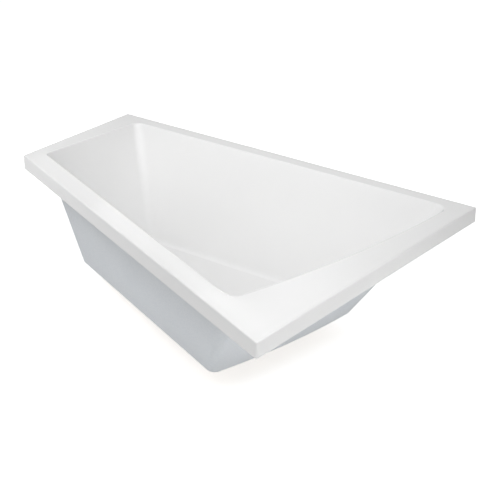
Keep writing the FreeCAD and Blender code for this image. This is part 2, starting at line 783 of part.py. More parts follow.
def group(label, pieces):
    thing = doc.addObject("Part::Compound", label)
    thing.Label = label
    thing.Links = pieces
    return thing


inner_top = section("inner_top", rim_height.value + basin_overrun.value, 0.0)
inner_low = section("inner_low", floor_z.value, 0.0)
shell_top = section("shell_top", rim_height.value - acrylic.value / 2, acrylic.value)
shell_low = section("shell_low", shell_under.value, acrylic.value)
bond_offset = acrylic.value + bond.value
skin_offset = bond_offset + skin.value
bond_top = section("bond_top", rim_height.value, bond_offset)
bond_low = section("bond_low", shell_under.value - bond.value, bond_offset)
skin_top = section("skin_top", ledge_under.value, skin_offset)
skin_low = section("skin_low", base_z.value, skin_offset)
tray = section("tray", base_z.value, skin_offset - board_wrap.value)
board_edge = section("board_edge", base_z.value, skin_offset - board_wrap.value - bond.value)


def rim_points(name, inset):
    """The rim's four corners, moved in by an inset."""
    points = []
    for corner, point in zip(CORNERS, offset_loop(RIM, [-inset] * 4)):
        points.append((book.put("%s_x_%s" % (name, corner), point[0]),
                       book.put("%s_y_%s" % (name, corner), point[1])))
    return points


rim_outer = rim_points("rim_outer", 0.0)
rim_inner = rim_points("rim_inner", acrylic.value)

# tub_shell: one acrylic sheet, drawn down into the basin and turned down round the rim.
rim_sheet = new_body("rim_sheet")
outline = flat_sketch(rim_sheet, "rim_outline", rim_height - apron)
polygon(outline, rim_outer)
doc.recompute()
extrude(rim_sheet, "Pad", "rim_slab", outline, apron)
rounded(rim_sheet, "apron_corners", edge_round, lambda edge: edge.BoundBox.ZLength > apron.value - 0.01)
hollow = flat_sketch(rim_sheet, "rim_hollow_outline", rim_height - apron)
polygon(hollow, rim_inner)
doc.recompute()
extrude(rim_sheet, "Pocket", "rim_hollow", hollow, apron - acrylic, True)
basin_outside = basin_form("basin_outside", shell_top, shell_low, floor_round + acrylic)
basin_inside = basin_form("basin_inside", inner_top, inner_low, floor_round)
dish_boss = cylinder("dish_boss", dish_radius + acrylic, dish_depth + acrylic / 2.0, drain_x, drain_y,
                     shell_under - dish_depth)
dish = cylinder("dish", dish_radius, dish_depth + overrun, drain_x, drain_y, floor_z - dish_depth)
waste_hole = cylinder("waste_hole", hole_radius, dish_depth + acrylic * 3.0, drain_x, drain_y,
                      shell_under - dish_depth - acrylic)
sheet_form = fused("sheet_form", [rim_sheet, basin_outside, dish_boss])
moulded = cut("moulded_sheet", sheet_form, [basin_inside, dish, waste_hole])
doc.recompute()


def edge_middle(edge):
    return edge.valueAt((edge.FirstParameter + edge.LastParameter) / 2)


def off_rim(spot):
    """Distance from the nearest of the rim's four outer sides."""
    reach = []
    for i in range(4):
        ux, uy = unit(RIM[i], RIM[(i + 1) % 4])
        reach.append(abs(-uy * (spot.x - RIM[i][0]) + ux * (spot.y - RIM[i][1])))
    return min(reach)


rim_edges = []
for index, edge in enumerate(moulded.Shape.Edges):
    if at_level(rim_height.value)(edge):
        if off_rim(edge_middle(edge)) < edge_round.value:
            rim_edges.append((index + 1, edge_round.value, edge_round.value))
        else:
            rim_edges.append((index + 1, lip_round.value, lip_round.value))
shell = part_fillet("tub_shell", moulded, rim_edges)

# reinforcement_skin: the grey fibre layer on the outside of the basin, wrapped down round the base board.
skin_outside = basin_form("skin_outside", skin_top, skin_low, base_round)
skin_inside = basin_form("skin_inside", bond_top, bond_low, floor_round + acrylic + bond)


def board_form(label, part, height):
    """A flat board of the basin's outline, with its corners rounded."""
    body = new_body(label)
    sketch = flat_sketch(body, label + "_outline", part["level"])
    basin_wire(sketch, part)
    doc.recompute()
    extrude(body, "Pad", label + "_plate", sketch, height)
    for i in range(4):
        x, y = part["points"][i]
        spot = FreeCAD.Vector(x.value, y.value, part["level"].value)

        def at_corner(edge):
            ends = [(vertex.Point - spot).Length for vertex in edge.Vertexes]
            return edge.BoundBox.ZLength > height.value - 0.01 and min(ends) < 0.01
        rounded(body, "%s_%s" % (label, CORNERS[i]), part["radii"][i], at_corner)
    return body


tray_space = board_form("tray_space", tray, board)
skin_opening = cylinder("skin_opening", skin_hole, board + skin * 3.0, drain_x, drain_y, base_z)
cover = cut("reinforcement_skin", skin_outside, [skin_inside, tray_space, skin_opening])

# base_board: plywood under the floor, with a round opening for the waste and pilot holes for the rails.
plate = board_form("base_board", board_edge, board)
cutout = flat_sketch(plate, "board_opening_outline", base_z)
circle(cutout, (drain_x, drain_y), board_hole)
doc.recompute()
extrude(plate, "Pocket", "board_opening", cutout, board, True)
RAILS = (("narrow", rail_narrow_x, foot_a_y, foot_b_y), ("wide", rail_wide_x, foot_c_y, foot_d_y))
screw_spots = []
for name, x, first, last in RAILS:
    across = rail_web / 2.0 + rail_flange / 2.0
    for y in (first - rail_end + screw_inset, last + rail_end - screw_inset):
        screw_spots.append((x - across, y))
        screw_spots.append((x + across, y))
pilots = flat_sketch(plate, "pilot_outline", base_z)
for spot in screw_spots:
    circle(pilots, spot, screw_radius + slip)
doc.recompute()
extrude(plate, "Pocket", "pilots", pilots, screw_length + pilot_spare, True)

# Rim stiffeners: four plywood boards glued under the ledges, mitred where they meet.
inset = acrylic.value + batten_gap.value
outer_line = offset_loop(RIM, [-inset] * 4)
share = (rim_height.value - ledge_under.value) / basin_depth.value
wall_line = []
for a, c in zip(top_loop, floor_loop):
    wall_line.append((a[0] + (c[0] - a[0]) * share, a[1] + (c[1] - a[1]) * share))
reach = [(skin_offset + batten_gap.value) * stretch for stretch in STRETCH]
reach[1] = reach[1] + bow_rim.value
inner_line = offset_loop(wall_line, reach)
battens = []
for i, side in enumerate(("front", "wide_end", "back", "narrow_end")):
    label = "rim_batten_" + side
    after = (i + 1) % 4
    points = []
    for number, point in enumerate((outer_line[i], outer_line[after], inner_line[after], inner_line[i])):
        points.append((book.put("%s_x%s" % (label, "abcd"[number]), point[0]),
                       book.put("%s_y%s" % (label, "abcd"[number]), point[1])))
    stiffener = new_body(label)
    drawing = flat_sketch(stiffener, label + "_outline", ledge_under - batten)
    polygon(drawing, points)
    doc.recompute()
    extrude(stiffener, "Pad", label + "_board", drawing, batten)
    battens.append(stiffener)

# Waste fitting, turned about the waste axis.  Heights are above the floor the bath stands on.
dish_z = floor_z - dish_depth
flange_z = dish_z + flange_seal_thick
flange_top = flange_z + flange_thick
spigot_z = flange_z - spigot_length
seat_wide = spigot_bore + seat_flare
flange_ring = turned("flange_blank", [
    (spigot_bore, spigot_z), (spigot_outer, spigot_z), (spigot_outer, flange_z), (flange_radius, flange_z),
    (flange_radius, flange_top - flange_bevel), (flange_radius - flange_bevel, flange_top),
    (seat_wide, flange_top),
    (spigot_bore, flange_top - seat_depth)], drain_x, drain_y)
bar_z = spigot_z + bar_rise
bars = []
for name, long_x in (("bar_x", True), ("bar_y", False)):
    bar = doc.addObject("Part::Box", name)
    reach_out = spigot_bore + bar_bite
    bar.setExpression("Length", ((reach_out * 2.0) if long_x else bar_width).text)
    bar.setExpression("Width", (bar_width if long_x else (reach_out * 2.0)).text)
    bar.setExpression("Height", bar_height.text)
    place(bar, drain_x - (reach_out if long_x else bar_width / 2.0),
          drain_y - (bar_width / 2.0 if long_x else reach_out), bar_z)
    bars.append(bar)
hub = cylinder("hub", hub_radius, bar_height, drain_x, drain_y, bar_z)
strainer = fused("flange_with_strainer", [flange_ring, hub] + bars)
hub_bore = cylinder("hub_bore", stud_radius + slip, bar_height + overrun * 2.0, drain_x, drain_y,
                    bar_z - overrun)
waste_flange = cut("waste_flange", strainer, [hub_bore])
flange_seal = turned("flange_seal", [
    (spigot_outer + slip, dish_z), (flange_radius - flange_seal_inset, dish_z),
    (flange_radius - flange_seal_inset, flange_z), (spigot_outer + slip, flange_z)], drain_x, drain_y)
boss_z = shell_under - dish_depth
body_z = boss_z - body_seal_thick
body_seal = turned("body_seal", [
    (hole_radius + body_seal_ease, body_z), (body_radius - body_seal_inset, body_z),
    (body_radius - body_seal_inset, boss_z), (hole_radius + body_seal_ease, boss_z)], drain_x, drain_y)
body_low = body_z - body_height
thread_low = body_z - thread_height
outlet_height = body_z - outlet_drop
collar_low = body_z - collar_height
house = turned("trap_house_blank", [
    (spigot_outer + slip, thread_low), (tube_outer + slip, thread_low), (tube_outer + slip, collar_low),
    (collar_radius, collar_low), (collar_radius, body_z - body_top),
    (body_radius - body_wall, body_z - body_top),
    (body_radius - body_wall, body_low), (body_radius, body_low), (body_radius, body_z),
    (spigot_outer + slip, body_z)], drain_x, drain_y)
wall_mid = body_radius - body_wall / 2.0
socket_start = drain_y + wall_mid
socket_end = drain_y + outlet_reach
socket = lying_cylinder("outlet_socket", socket_radius, outlet_reach - wall_mid, drain_x, socket_start,
                        outlet_height)
socket_floor = socket_end - socket_depth
trap_house = fused("trap_house", [house, socket])
outlet_bore = lying_cylinder("outlet_bore", pipe_radius - pipe_wall,
                             outlet_reach - body_radius + bore_entry + overrun, drain_x,
                             drain_y + body_radius - bore_entry, outlet_height)
counterbore = lying_cylinder("outlet_counterbore", pipe_radius + slip, socket_depth + overrun, drain_x,
                             socket_floor, outlet_height)
waste_body = cut("waste_body", trap_house, [outlet_bore, counterbore])
dip_tube = turned("dip_tube", [
    (tube_outer - tube_wall, thread_low - tube_length), (tube_outer, thread_low - tube_length),
    (tube_outer, thread_low), (tube_outer - tube_wall, thread_low)], drain_x, drain_y)
bowl_top = body_low - bowl_seal_thick
bowl_low = bowl_top - bowl_bottom
bowl_seal = turned("bowl_seal", [
    (body_radius - body_wall, bowl_top), (body_radius, bowl_top),
    (body_radius, body_low), (body_radius - body_wall, body_low)], drain_x, drain_y)
ring_outer = body_radius - body_wall - slip
ring_inner = ring_outer - bowl_ring_wall
ring_top = bowl_top + bowl_ring
cup_inner = cup_radius - cup_wall
cup_top = bowl_top + cup_height
bowl_blank = turned("bowl_blank", [
    (0.0, bowl_low), (body_radius, bowl_low), (body_radius, bowl_top), (ring_outer, bowl_top),
    (ring_outer, ring_top), (ring_inner, ring_top), (ring_inner, bowl_top), (cup_radius, bowl_top),
    (cup_radius, cup_top), (cup_inner, cup_top), (cup_inner, bowl_top), (0.0, bowl_top)], drain_x, drain_y)
grip = doc.addObject("Part::Box", "bowl_grip")
grip.setExpression("Length", grip_length.text)
grip.setExpression("Width", grip_width.text)
grip.setExpression("Height", (grip_height + bowl_bottom / 2.0).text)
place(grip, drain_x - grip_length / 2.0, drain_y - grip_width / 2.0, bowl_low - grip_height)
trap_bowl = fused("trap_bowl", [bowl_blank, grip])
cartridge_z = bar_z + bar_height
stud_z = bar_z - stud_tail
cartridge_top = cartridge_z + cartridge_height
well_z = cartridge_z + cartridge_floor
cartridge = turned("click_cartridge", [
    (0.0, stud_z), (stud_radius, stud_z), (stud_radius, cartridge_z), (cartridge_radius, cartridge_z),
    (cartridge_radius, cartridge_top), (stem_radius + slip, cartridge_top), (stem_radius + slip, well_z),
    (0.0, well_z)], drain_x, drain_y)
cap_z = flange_top + cap_lift
stem_top = cap_z - cap_boss + cap_grip
plug_stem = turned("plug_stem", [
    (0.0, stem_top - stem_length), (stem_radius, stem_top - stem_length), (stem_radius, stem_top),
    (0.0, stem_top)], drain_x, drain_y)
cup_low = cap_z - cap_boss
plug_cap = turned("plug_cap", [
    (stem_radius + slip, cup_low), (hub_radius, cup_low), (hub_radius, cap_z),
    (cap_radius - cap_bevel, cap_z), (cap_radius, cap_z + cap_bevel),
    (cap_radius - cap_shoulder, cap_z + cap_thick * 0.65), (cap_radius * 0.6, cap_z + cap_thick),
    (0.0, cap_z + cap_thick * 1.1), (0.0, stem_top), (stem_radius + slip, stem_top)], drain_x, drain_y)
seal_low = cap_z - plug_seal_thick
seat_slope = seat_flare / seat_depth
seal_edge = seat_wide + seat_slope * cap_lift - seal_gap
plug_seal = turned("plug_seal", [
    (hub_radius + slip, seal_low), (seal_edge - seat_slope * plug_seal_thick, seal_low), (seal_edge, cap_z),
    (hub_radius + slip, cap_z)], drain_x, drain_y)

# Outlet: pipe, compression ring and union nut, along +Y from the trap.
nut_far = socket_end + pipe_seal_thick + nut_lip
nut_near = nut_far - nut_length
mark_outside = lying_cylinder("mark_outside", pipe_radius + overrun, mark_width, drain_x, nut_far,
                              outlet_height)
mark_inside = lying_cylinder("mark_inside", pipe_radius - mark_depth, mark_width + overrun * 2.0, drain_x,
                             nut_far - overrun, outlet_height)
mark_ring = cut("mark_ring", mark_outside, [mark_inside])
pipe_outside = lying_cylinder("pipe_outside", pipe_radius, pipe_length, drain_x, socket_floor, outlet_height)
pipe_bore = lying_cylinder("pipe_bore", pipe_radius - pipe_wall, pipe_length + overrun * 2.0, drain_x,
                           socket_floor - overrun, outlet_height)
outlet_pipe = cut("outlet_pipe", pipe_outside, [pipe_bore, mark_ring])
ring_outside = lying_cylinder("ring_outside", socket_radius, pipe_seal_thick, drain_x, socket_end,
                              outlet_height)
ring_bore = lying_cylinder("ring_bore", pipe_radius + slip, pipe_seal_thick + overrun * 2.0, drain_x,
                           socket_end - overrun, outlet_height)
outlet_seal = cut("outlet_seal", ring_outside, [ring_bore])
union_nut = bevelled_hexagon("union_nut", nut_across, nut_length, drain_x, nut_near, outlet_height, True)
nut_socket = lying_cylinder("nut_socket", socket_radius + slip, nut_length - nut_lip + overrun, drain_x,
                            nut_near - overrun, outlet_height)
nut_bore = lying_cylinder("nut_bore", pipe_radius + slip, nut_length + overrun * 2.0, drain_x,
                          nut_near - overrun, outlet_height)
outlet_nut = cut("outlet_nut", union_nut, [nut_socket, nut_bore])

# Undercarriage: hat-section rails under the board, screw feet through them.
def along_rail(length, spots):
    """Picks edges that run the rail's whole length at one of the spots, on either side."""
    def test(edge):
        box = edge.BoundBox
        if box.YLength < length - 0.01 or box.XLength > 0.01 or box.ZLength > 0.01:
            return False
        return any(abs(abs(box.XMin) - x) < 0.01 and abs(box.ZMin - z) < 0.01 for x, z in spots)
    return test


web_z = base_z - rail_height
rails = []
for name, x, first, last in RAILS:
    label = "foot_rail_" + name
    rail = new_body(label)
    profile = upright_sketch(rail, label + "_profile")
    half_web = rail_web / 2.0
    half_all = half_web + rail_flange
    half_room = half_web - rail_steel
    top = rail_height
    low = top - rail_steel
    polygon(profile, [
        (half_web * -1.0, 0.0), (half_web, 0.0), (half_web, low), (half_all, low), (half_all, top),
        (half_room, top), (half_room, rail_steel), (half_room * -1.0, rail_steel), (half_room * -1.0, top),
        (half_all * -1.0, top), (half_all * -1.0, low), (half_web * -1.0, low)])
    doc.recompute()
    length = last - first + rail_end * 2.0
    extrude(rail, "Pad", label + "_bar", profile, length, True)
    outer_bends = ((half_web, as_size(0.0)), (half_room, top))
    inner_bends = ((half_room, rail_steel), (half_web, low))
    for kind, bends, radius in (("outer", outer_bends, rail_bend),
                                ("inner", inner_bends, rail_bend - rail_steel)):
        spots = [(across.value, level.value) for across, level in bends]
        rounded(rail, "%s_%s_bends" % (label, kind), radius, along_rail(length.value, spots))
    holes = flat_sketch(rail, label + "_foot_holes", rail_steel)
    for y in (first, last):
        circle(holes, (0.0, y - first + rail_end), spindle_radius + slip * 2.0)
    doc.recompute()
    extrude(rail, "Pocket", label + "_foot_bores", holes, rail_steel * 2.0)
    fixings = flat_sketch(rail, label + "_screw_holes", rail_height)
    across = half_web + rail_flange / 2.0
    for along in (screw_inset, length - screw_inset):
        circle(fixings, (across * -1.0, along), screw_radius + slip)
        circle(fixings, (across, along), screw_radius + slip)
    doc.recompute()
    extrude(rail, "Pocket", label + "_screw_bores", fixings, rail_steel * 2.0)
    place(rail, x, first - rail_end, web_z)
    rails.append(rail)

screws = []
head_top = rail_steel * -1.0
head_low = head_top - screw_head_height
for number, (x, y) in enumerate(screw_spots):
    screws.append(turned("rail_screw_%d" % number, [
        (0.0, head_low), (screw_head - screw_bevel, head_low), (screw_head, head_low + screw_bevel),
        (screw_head, head_top), (screw_radius, head_top), (screw_radius, screw_length - screw_tip),
        (0.0, screw_length)], x, y, base_z))
rail_screws = group("rail_screws", screws)

fixed_nuts = []
lock_nuts = []
spindles = []
pads = []
FEET = (("a", rail_narrow_x, foot_a_y), ("b", rail_narrow_x, foot_b_y),
        ("c", rail_wide_x, foot_c_y), ("d", rail_wide_x, foot_d_y))
for name, x, y in FEET:
    fixed_low = web_z - fixed_nut_height
    lock_low = fixed_low - lock_nut_height
    bore = spindle_radius + slip
    for kind, low, height, bag in (("fixed", fixed_low, fixed_nut_height, fixed_nuts),
                                   ("lock", lock_low, lock_nut_height, lock_nuts)):
        blank = bevelled_hexagon("%s_nut_blank_%s" % (kind, name), nut_flats, height, x, y, low)
        drill = cylinder("%s_nut_drill_%s" % (kind, name), bore, height + overrun * 2.0, x, y, low - overrun)
        bag.append(cut("%s_nut_%s" % (kind, name), blank, [drill]))
    rod = turned("spindle_rod_" + name, [
        (0.0, rod_low), (spindle_radius, rod_low), (spindle_radius, rod_low + spindle_length - spindle_bevel),
        (spindle_radius - spindle_bevel, rod_low + spindle_length), (0.0, rod_low + spindle_length)], x, y)
    head = bevelled_hexagon("spindle_collar_" + name, collar_flats, hex_collar_height, x, y,
                            pad_height + collar_gap)
    spindles.append(fused("foot_spindle_" + name, [rod, head]))
    pads.append(turned("foot_pad_" + name, [
        (0.0, 0.0), (pad_radius - pad_bevel, 0.0), (pad_radius, pad_bevel), (pad_radius, pad_edge),
        (pad_neck, pad_height - pad_neck_height),
        (pad_neck, pad_height), (spindle_radius + slip, pad_height), (spindle_radius + slip, rod_low),
        (0.0, rod_low)], x, y))
rail_nuts = group("rail_nuts", fixed_nuts)
spindle_nuts = group("lock_nuts", lock_nuts)

doc.recompute()

nodes = [shell, cover, plate] + battens
nodes = nodes + [waste_flange, flange_seal, body_seal, waste_body, dip_tube, trap_bowl, bowl_seal]
nodes = nodes + [cartridge, plug_stem, plug_cap, plug_seal, outlet_pipe, outlet_seal, outlet_nut]
nodes = nodes + rails + [rail_screws, rail_nuts, spindle_nuts] + spindles + pads

for thing in doc.Objects:
    if "Invalid" in thing.State or "Error" in thing.State:
        raise ValueError("%s did not build: %s" % (thing.Label, thing.State))
for node in nodes:
    if node.Shape.isNull() or not node.Shape.isValid():
        raise ValueError("%s has no valid shape" % node.Label)

os.makedirs("parts", exist_ok=True)
for node in nodes:
    node.Shape.exportStep("parts/%s.step" % node.Label)
    print("%-24s solids %2d  volume %12.1f mm3" % (node.Label, len(node.Shape.Solids), node.Shape.Volume))
whole = Part.makeCompound([node.Shape for node in nodes]).optimalBoundingBox(False, False)
print("nodes %d, x %.2f to %.2f" % (len(nodes), whole.XMin, whole.XMax))
print("y %.2f to %.2f, z %.2f to %.2f" % (whole.YMin, whole.YMax, whole.ZMin, whole.ZMax))
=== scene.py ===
# %% [markdown]
# # Dressing an asymmetric bathtub
#
# The real bathtub is one sheet of white acrylic, drawn down into a basin and stiffened by a grey fibre
# skin, plywood boards and two steel rails on levelling feet. Its shapes could be modelled again here, but
# they already exist as a construction model, so this lesson loads that model and only dresses it: every
# piece gets the surface of its real material, and the small turned pieces get threads, ribs and slots.
# Lengths are in metres, and every piece stays where the construction model puts it.

import json
import math

import bpy
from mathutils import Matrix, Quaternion, Vector


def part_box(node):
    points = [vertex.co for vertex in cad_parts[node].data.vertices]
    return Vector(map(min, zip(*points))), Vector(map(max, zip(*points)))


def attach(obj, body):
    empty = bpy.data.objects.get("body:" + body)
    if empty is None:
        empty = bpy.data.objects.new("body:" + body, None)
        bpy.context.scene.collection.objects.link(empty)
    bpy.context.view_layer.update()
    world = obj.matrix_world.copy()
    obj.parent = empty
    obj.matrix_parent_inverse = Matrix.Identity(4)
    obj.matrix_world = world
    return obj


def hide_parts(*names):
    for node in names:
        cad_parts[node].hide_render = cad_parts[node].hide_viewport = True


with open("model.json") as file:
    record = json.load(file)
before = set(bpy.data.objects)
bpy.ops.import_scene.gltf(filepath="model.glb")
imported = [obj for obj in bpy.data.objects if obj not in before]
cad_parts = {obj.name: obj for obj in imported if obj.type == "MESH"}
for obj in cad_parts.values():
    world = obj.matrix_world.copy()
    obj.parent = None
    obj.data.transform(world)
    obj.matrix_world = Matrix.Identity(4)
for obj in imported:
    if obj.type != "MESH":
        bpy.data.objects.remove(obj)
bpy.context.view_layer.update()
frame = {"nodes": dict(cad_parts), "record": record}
nodes = frame["nodes"]

# %% [markdown]
# ## Small helpers for materials
#
# Every finish on the bath is made by a process, such as drawing, spraying, plating or moulding, that
# repeats over the whole surface. A painted picture could show one piece of it; a graph of nodes follows
# the process itself, has no seams and stays sharp close by, so all finishes here are graphs. These helpers
# add a node, set its values, join two sockets, and start a material with one surface shader.


# %% Material helpers
def add(tree, kind, **settings):
    made = tree.nodes.new(kind)
    for name, value in settings.items():
        setattr(made, name, value)
    return made


def set_values(made, **values):
    for name, value in values.items():
        made.inputs[name.replace("_", " ")].default_value = value
    return made


def join(tree, start, end):
    tree.links.new(start, end)


def new_material(name):
    material = bpy.data.materials.new(name)
    material.use_nodes = True
    tree = material.node_tree
    tree.nodes.clear()
    surface = add(tree, "ShaderNodeBsdfPrincipled")
    output = add(tree, "ShaderNodeOutputMaterial")
    join(tree, surface.outputs["BSDF"], output.inputs["Surface"])
    return material, tree, surface


def object_coordinates(tree):
    return add(tree, "ShaderNodeTexCoord").outputs["Object"]


print("helpers ready")

# %% [markdown]
# ## Effects that materials share
#
# Most real surfaces change slowly in tone, carry the grain of a mould, or pick up fine scratches in use.
# Each material could hold its own copy of the nodes for this. They are node groups instead, made once and
# placed with a different scale in each material, so that one correction reaches all of them. Every group
# takes a place and a scale, and gives out one number that changes over the surface.


# %% Start a node group
effects = {}


def new_group(name, output):
    tree = bpy.data.node_groups.new(name, "ShaderNodeTree")
    tree.interface.new_socket("Vector", in_out="INPUT", socket_type="NodeSocketVector")
    tree.interface.new_socket("Scale", in_out="INPUT", socket_type="NodeSocketFloat")
    tree.interface.new_socket(output, in_out="OUTPUT", socket_type="NodeSocketFloat")
    effects[name] = tree
    return tree, add(tree, "NodeGroupInput"), add(tree, "NodeGroupOutput")


print("groups can start")

# %% [markdown]
# ## Mottle
#
# Resin, plating and plastic all set a little unevenly, and leave soft clouds of tone and gloss. Two noises
# could be mixed for this, but one with a few octaves is enough. Its values crowd around the middle, so the
# middle is spread over the whole range from 0 to 1, and each material can then use the mask at full strength.


# %% Mottle, a cloudy mask
def make_mottle():
    tree, start, end = new_group("mottle", "Mask")
    noise = set_values(add(tree, "ShaderNodeTexNoise"), Detail=4.0, Roughness=0.55, Distortion=0.3)
    join(tree, start.outputs["Vector"], noise.inputs["Vector"])
    join(tree, start.outputs["Scale"], noise.inputs["Scale"])
    widened = set_values(add(tree, "ShaderNodeMapRange"), From_Min=0.3, From_Max=0.7)
    join(tree, noise.outputs["Fac"], widened.inputs["Value"])
    join(tree, widened.outputs["Result"], end.inputs["Mask"])


make_mottle()
print("made the group mottle")

# %% [markdown]
# ## Grain
#
# A moulded piece copies the wall of its mould, which is etched so that the piece comes off and hides marks.
# A noise alone looks like dust. Adding a share of a cell pattern gives the small rounded pits of an etched
# wall, so this height is the sum of both.


# %% Grain, a fine height
CELL_SHARE = 0.35


def make_grain():
    tree, start, end = new_group("grain", "Height")
    fine = set_values(add(tree, "ShaderNodeTexNoise"), Detail=2.0, Roughness=0.6)
    cells = set_values(add(tree, "ShaderNodeTexVoronoi"), Randomness=1.0)
    for texture in (fine, cells):
        join(tree, start.outputs["Vector"], texture.inputs["Vector"])
        join(tree, start.outputs["Scale"], texture.inputs["Scale"])
    total = add(tree, "ShaderNodeMath", operation="MULTIPLY_ADD")
    total.inputs[1].default_value = CELL_SHARE
    join(tree, cells.outputs["Distance"], total.inputs[0])
    join(tree, fine.outputs["Fac"], total.inputs[2])
    join(tree, total.outputs["Value"], end.inputs["Height"])


make_grain()
print("made the group grain")

# %% [markdown]
# ## Scuffs
#
# Metal is handled, wiped and packed, and gathers thin scratches in more than one direction. Each scratch
# could be a curve, but thousands are needed. A noise stretched along one axis gives long thin islands, and
# only its highest values are kept. Two such layers, turned away from each other, are laid over one another.


# %% Scuffs, a mask of thin scratches
SCUFF_TILT = (0.3, 0.2)
SCUFF_LAYERS = ((0.5, (1.0, 14.0, 14.0)), (-0.9, (14.0, 1.0, 14.0)))  # turn in radians, stretch


def make_scuffs():
    tree, start, end = new_group("scuffs", "Mask")
    both = add(tree, "ShaderNodeMath", operation="MAXIMUM")
    for number, (turn, stretch) in enumerate(SCUFF_LAYERS):
        mapping = set_values(add(tree, "ShaderNodeMapping"), Rotation=(*SCUFF_TILT, turn), Scale=stretch)
        noise = set_values(add(tree, "ShaderNodeTexNoise"), Detail=1.0)
        highest = set_values(add(tree, "ShaderNodeMapRange"), From_Min=0.66, From_Max=0.74)
        join(tree, start.outputs["Vector"], mapping.inputs["Vector"])
        join(tree, mapping.outputs["Vector"], noise.inputs["Vector"])
        join(tree, start.outputs["Scale"], noise.inputs["Scale"])
        join(tree, noise.outputs["Fac"], highest.inputs["Value"])
        join(tree, highest.outputs["Result"], both.inputs[number])
    join(tree, both.outputs["Value"], end.inputs["Mask"])


make_scuffs()
print("shared effects:", ", ".join(effects))

# %% [markdown]
# ## Putting an effect to work
#
# On the bath itself a cloud or a scratch is seen in three ways: as a change of colour, of gloss, or of
# height. One helper mixes two colours by a mask, one maps a mask to a range of roughness, and one turns
# a height into a bump with a depth in metres. They are separate, so that one mask can drive all three.


# %% Helpers that use the shared effects
def effect(tree, name, scale):
    group = set_values(add(tree, "ShaderNodeGroup", node_tree=effects[name]), Scale=scale)
    join(tree, object_coordinates(tree), group.inputs["Vector"])
    return group.outputs[0]


def mix_colours(tree, mask, low, high):
    """Two colours mixed by a mask; each is a tuple of red, green and blue, or a socket."""
    mix = add(tree, "ShaderNodeMix", data_type="RGBA")
    factor, first, second = mix.inputs[0], mix.inputs[6], mix.inputs[7]
    for socket, colour in ((first, low), (second, high)):
        if isinstance(colour, tuple):
            socket.default_value = (*colour, 1.0)
        else:
            join(tree, colour, socket)
    join(tree, mask, factor)
    return mix.outputs[2]


def spread(tree, mask, low, high):
    values = set_values(add(tree, "ShaderNodeMapRange"), To_Min=low, To_Max=high)
    join(tree, mask, values.inputs["Value"])
    return values.outputs["Result"]


def bump(tree, height, depth, strength, under=None):
    made = set_values(add(tree, "ShaderNodeBump"), Strength=strength, Distance=depth)
    join(tree, height, made.inputs["Height"])
    if under is not None:
        join(tree, under, made.inputs["Normal"])
    return made.outputs["Normal"]


print("material recipes can start")

# %% [markdown]
# ## The acrylic shell
#
# The shell is cast acrylic, a dense and even white with a clear gloss. A plain white shader would be close,
# but it looks like paper: the real sheet has a very shallow ripple from being drawn over its mould, which
# only the reflections show, and faint clouds of a duller gloss from wiping. Both come from the mottle
# group at different scales, and a thin clear coat gives the sharper second reflection.


# %% White acrylic
ACRYLIC_DEEP = (0.855, 0.855, 0.855)
ACRYLIC_PALE = (0.872, 0.872, 0.87)
RIPPLE_DEPTH = 0.0004


def make_acrylic():
    material, tree, surface = new_material("acrylic_white")
    clouds = effect(tree, "mottle", 2.2)
    wiped = effect(tree, "mottle", 9.0)
    ripple = effect(tree, "mottle", 14.0)
    join(tree, mix_colours(tree, clouds, ACRYLIC_DEEP, ACRYLIC_PALE), surface.inputs["Base Color"])
    join(tree, spread(tree, wiped, 0.15, 0.21), surface.inputs["Roughness"])
    join(tree, bump(tree, ripple, RIPPLE_DEPTH, 0.25), surface.inputs["Normal"])
    set_values(surface, IOR=1.49, Coat_Weight=0.25, Coat_Roughness=0.12)
    return material


acrylic = make_acrylic()
print("made", acrylic.name)

# %% [markdown]
# ## Glass strands
#
# The grey outside of the basin is resin sprayed on with short glass strands that lie every way. Thousands
# of strands could be modelled, but at this size they are a texture. One layer is a noise stretched along
# a turned axis. Three layers at different angles are laid over each other, and the highest of them wins, as
# the upper strand does.


# %% Layers of strands
STRAND_TURNS = ((0.2, 0.6, 0.4), (0.9, -0.5, 1.7), (-0.7, 1.1, 2.8))  # radians about x, y and z
STRAND_STRETCH = (1.0, 9.0, 9.0)
STRAND_SCALE = 30.0


def strand_layer(tree, turn):
    mapping = set_values(add(tree, "ShaderNodeMapping"), Rotation=turn, Scale=STRAND_STRETCH)
    noise = set_values(add(tree, "ShaderNodeTexNoise"), Scale=STRAND_SCALE, Detail=2.0, Distortion=0.4)
    thread = set_values(add(tree, "ShaderNodeMapRange"), From_Min=0.52, From_Max=0.66)
    join(tree, object_coordinates(tree), mapping.inputs["Vector"])
    join(tree, mapping.outputs["Vector"], noise.inputs["Vector"])
    join(tree, noise.outputs["Fac"], thread.inputs["Value"])
    return thread.outputs["Result"]


def all_strands(tree):
    upper, *lower = [strand_layer(tree, turn) for turn in STRAND_TURNS]
    for layer in lower:
        highest = add(tree, "ShaderNodeMath", operation="MAXIMUM")
        join(tree, upper, highest.inputs[0])
        join(tree, layer, highest.inputs[1])
        upper = highest.outputs["Value"]
    return upper


print(len(STRAND_TURNS), "layers of strands ready")

# %% [markdown]
# ## The fibre skin
#
# The resin between the strands has run into cloudy pools. Colour alone could show both, but the skin is matte
# and uneven to the touch, so the pools also change the gloss and the height. The strands are a little paler
# than the resin and stand a little proud: their bump lies on top of the bump of the pools.


# %% Grey fibre skin
RESIN_DEEP = (0.738, 0.775, 0.816)
RESIN_PALE = (0.778, 0.815, 0.852)
STRAND_PALE = (0.871, 0.892, 0.912)
POOL_DEPTH = 0.0012
STRAND_DEPTH = 0.0004


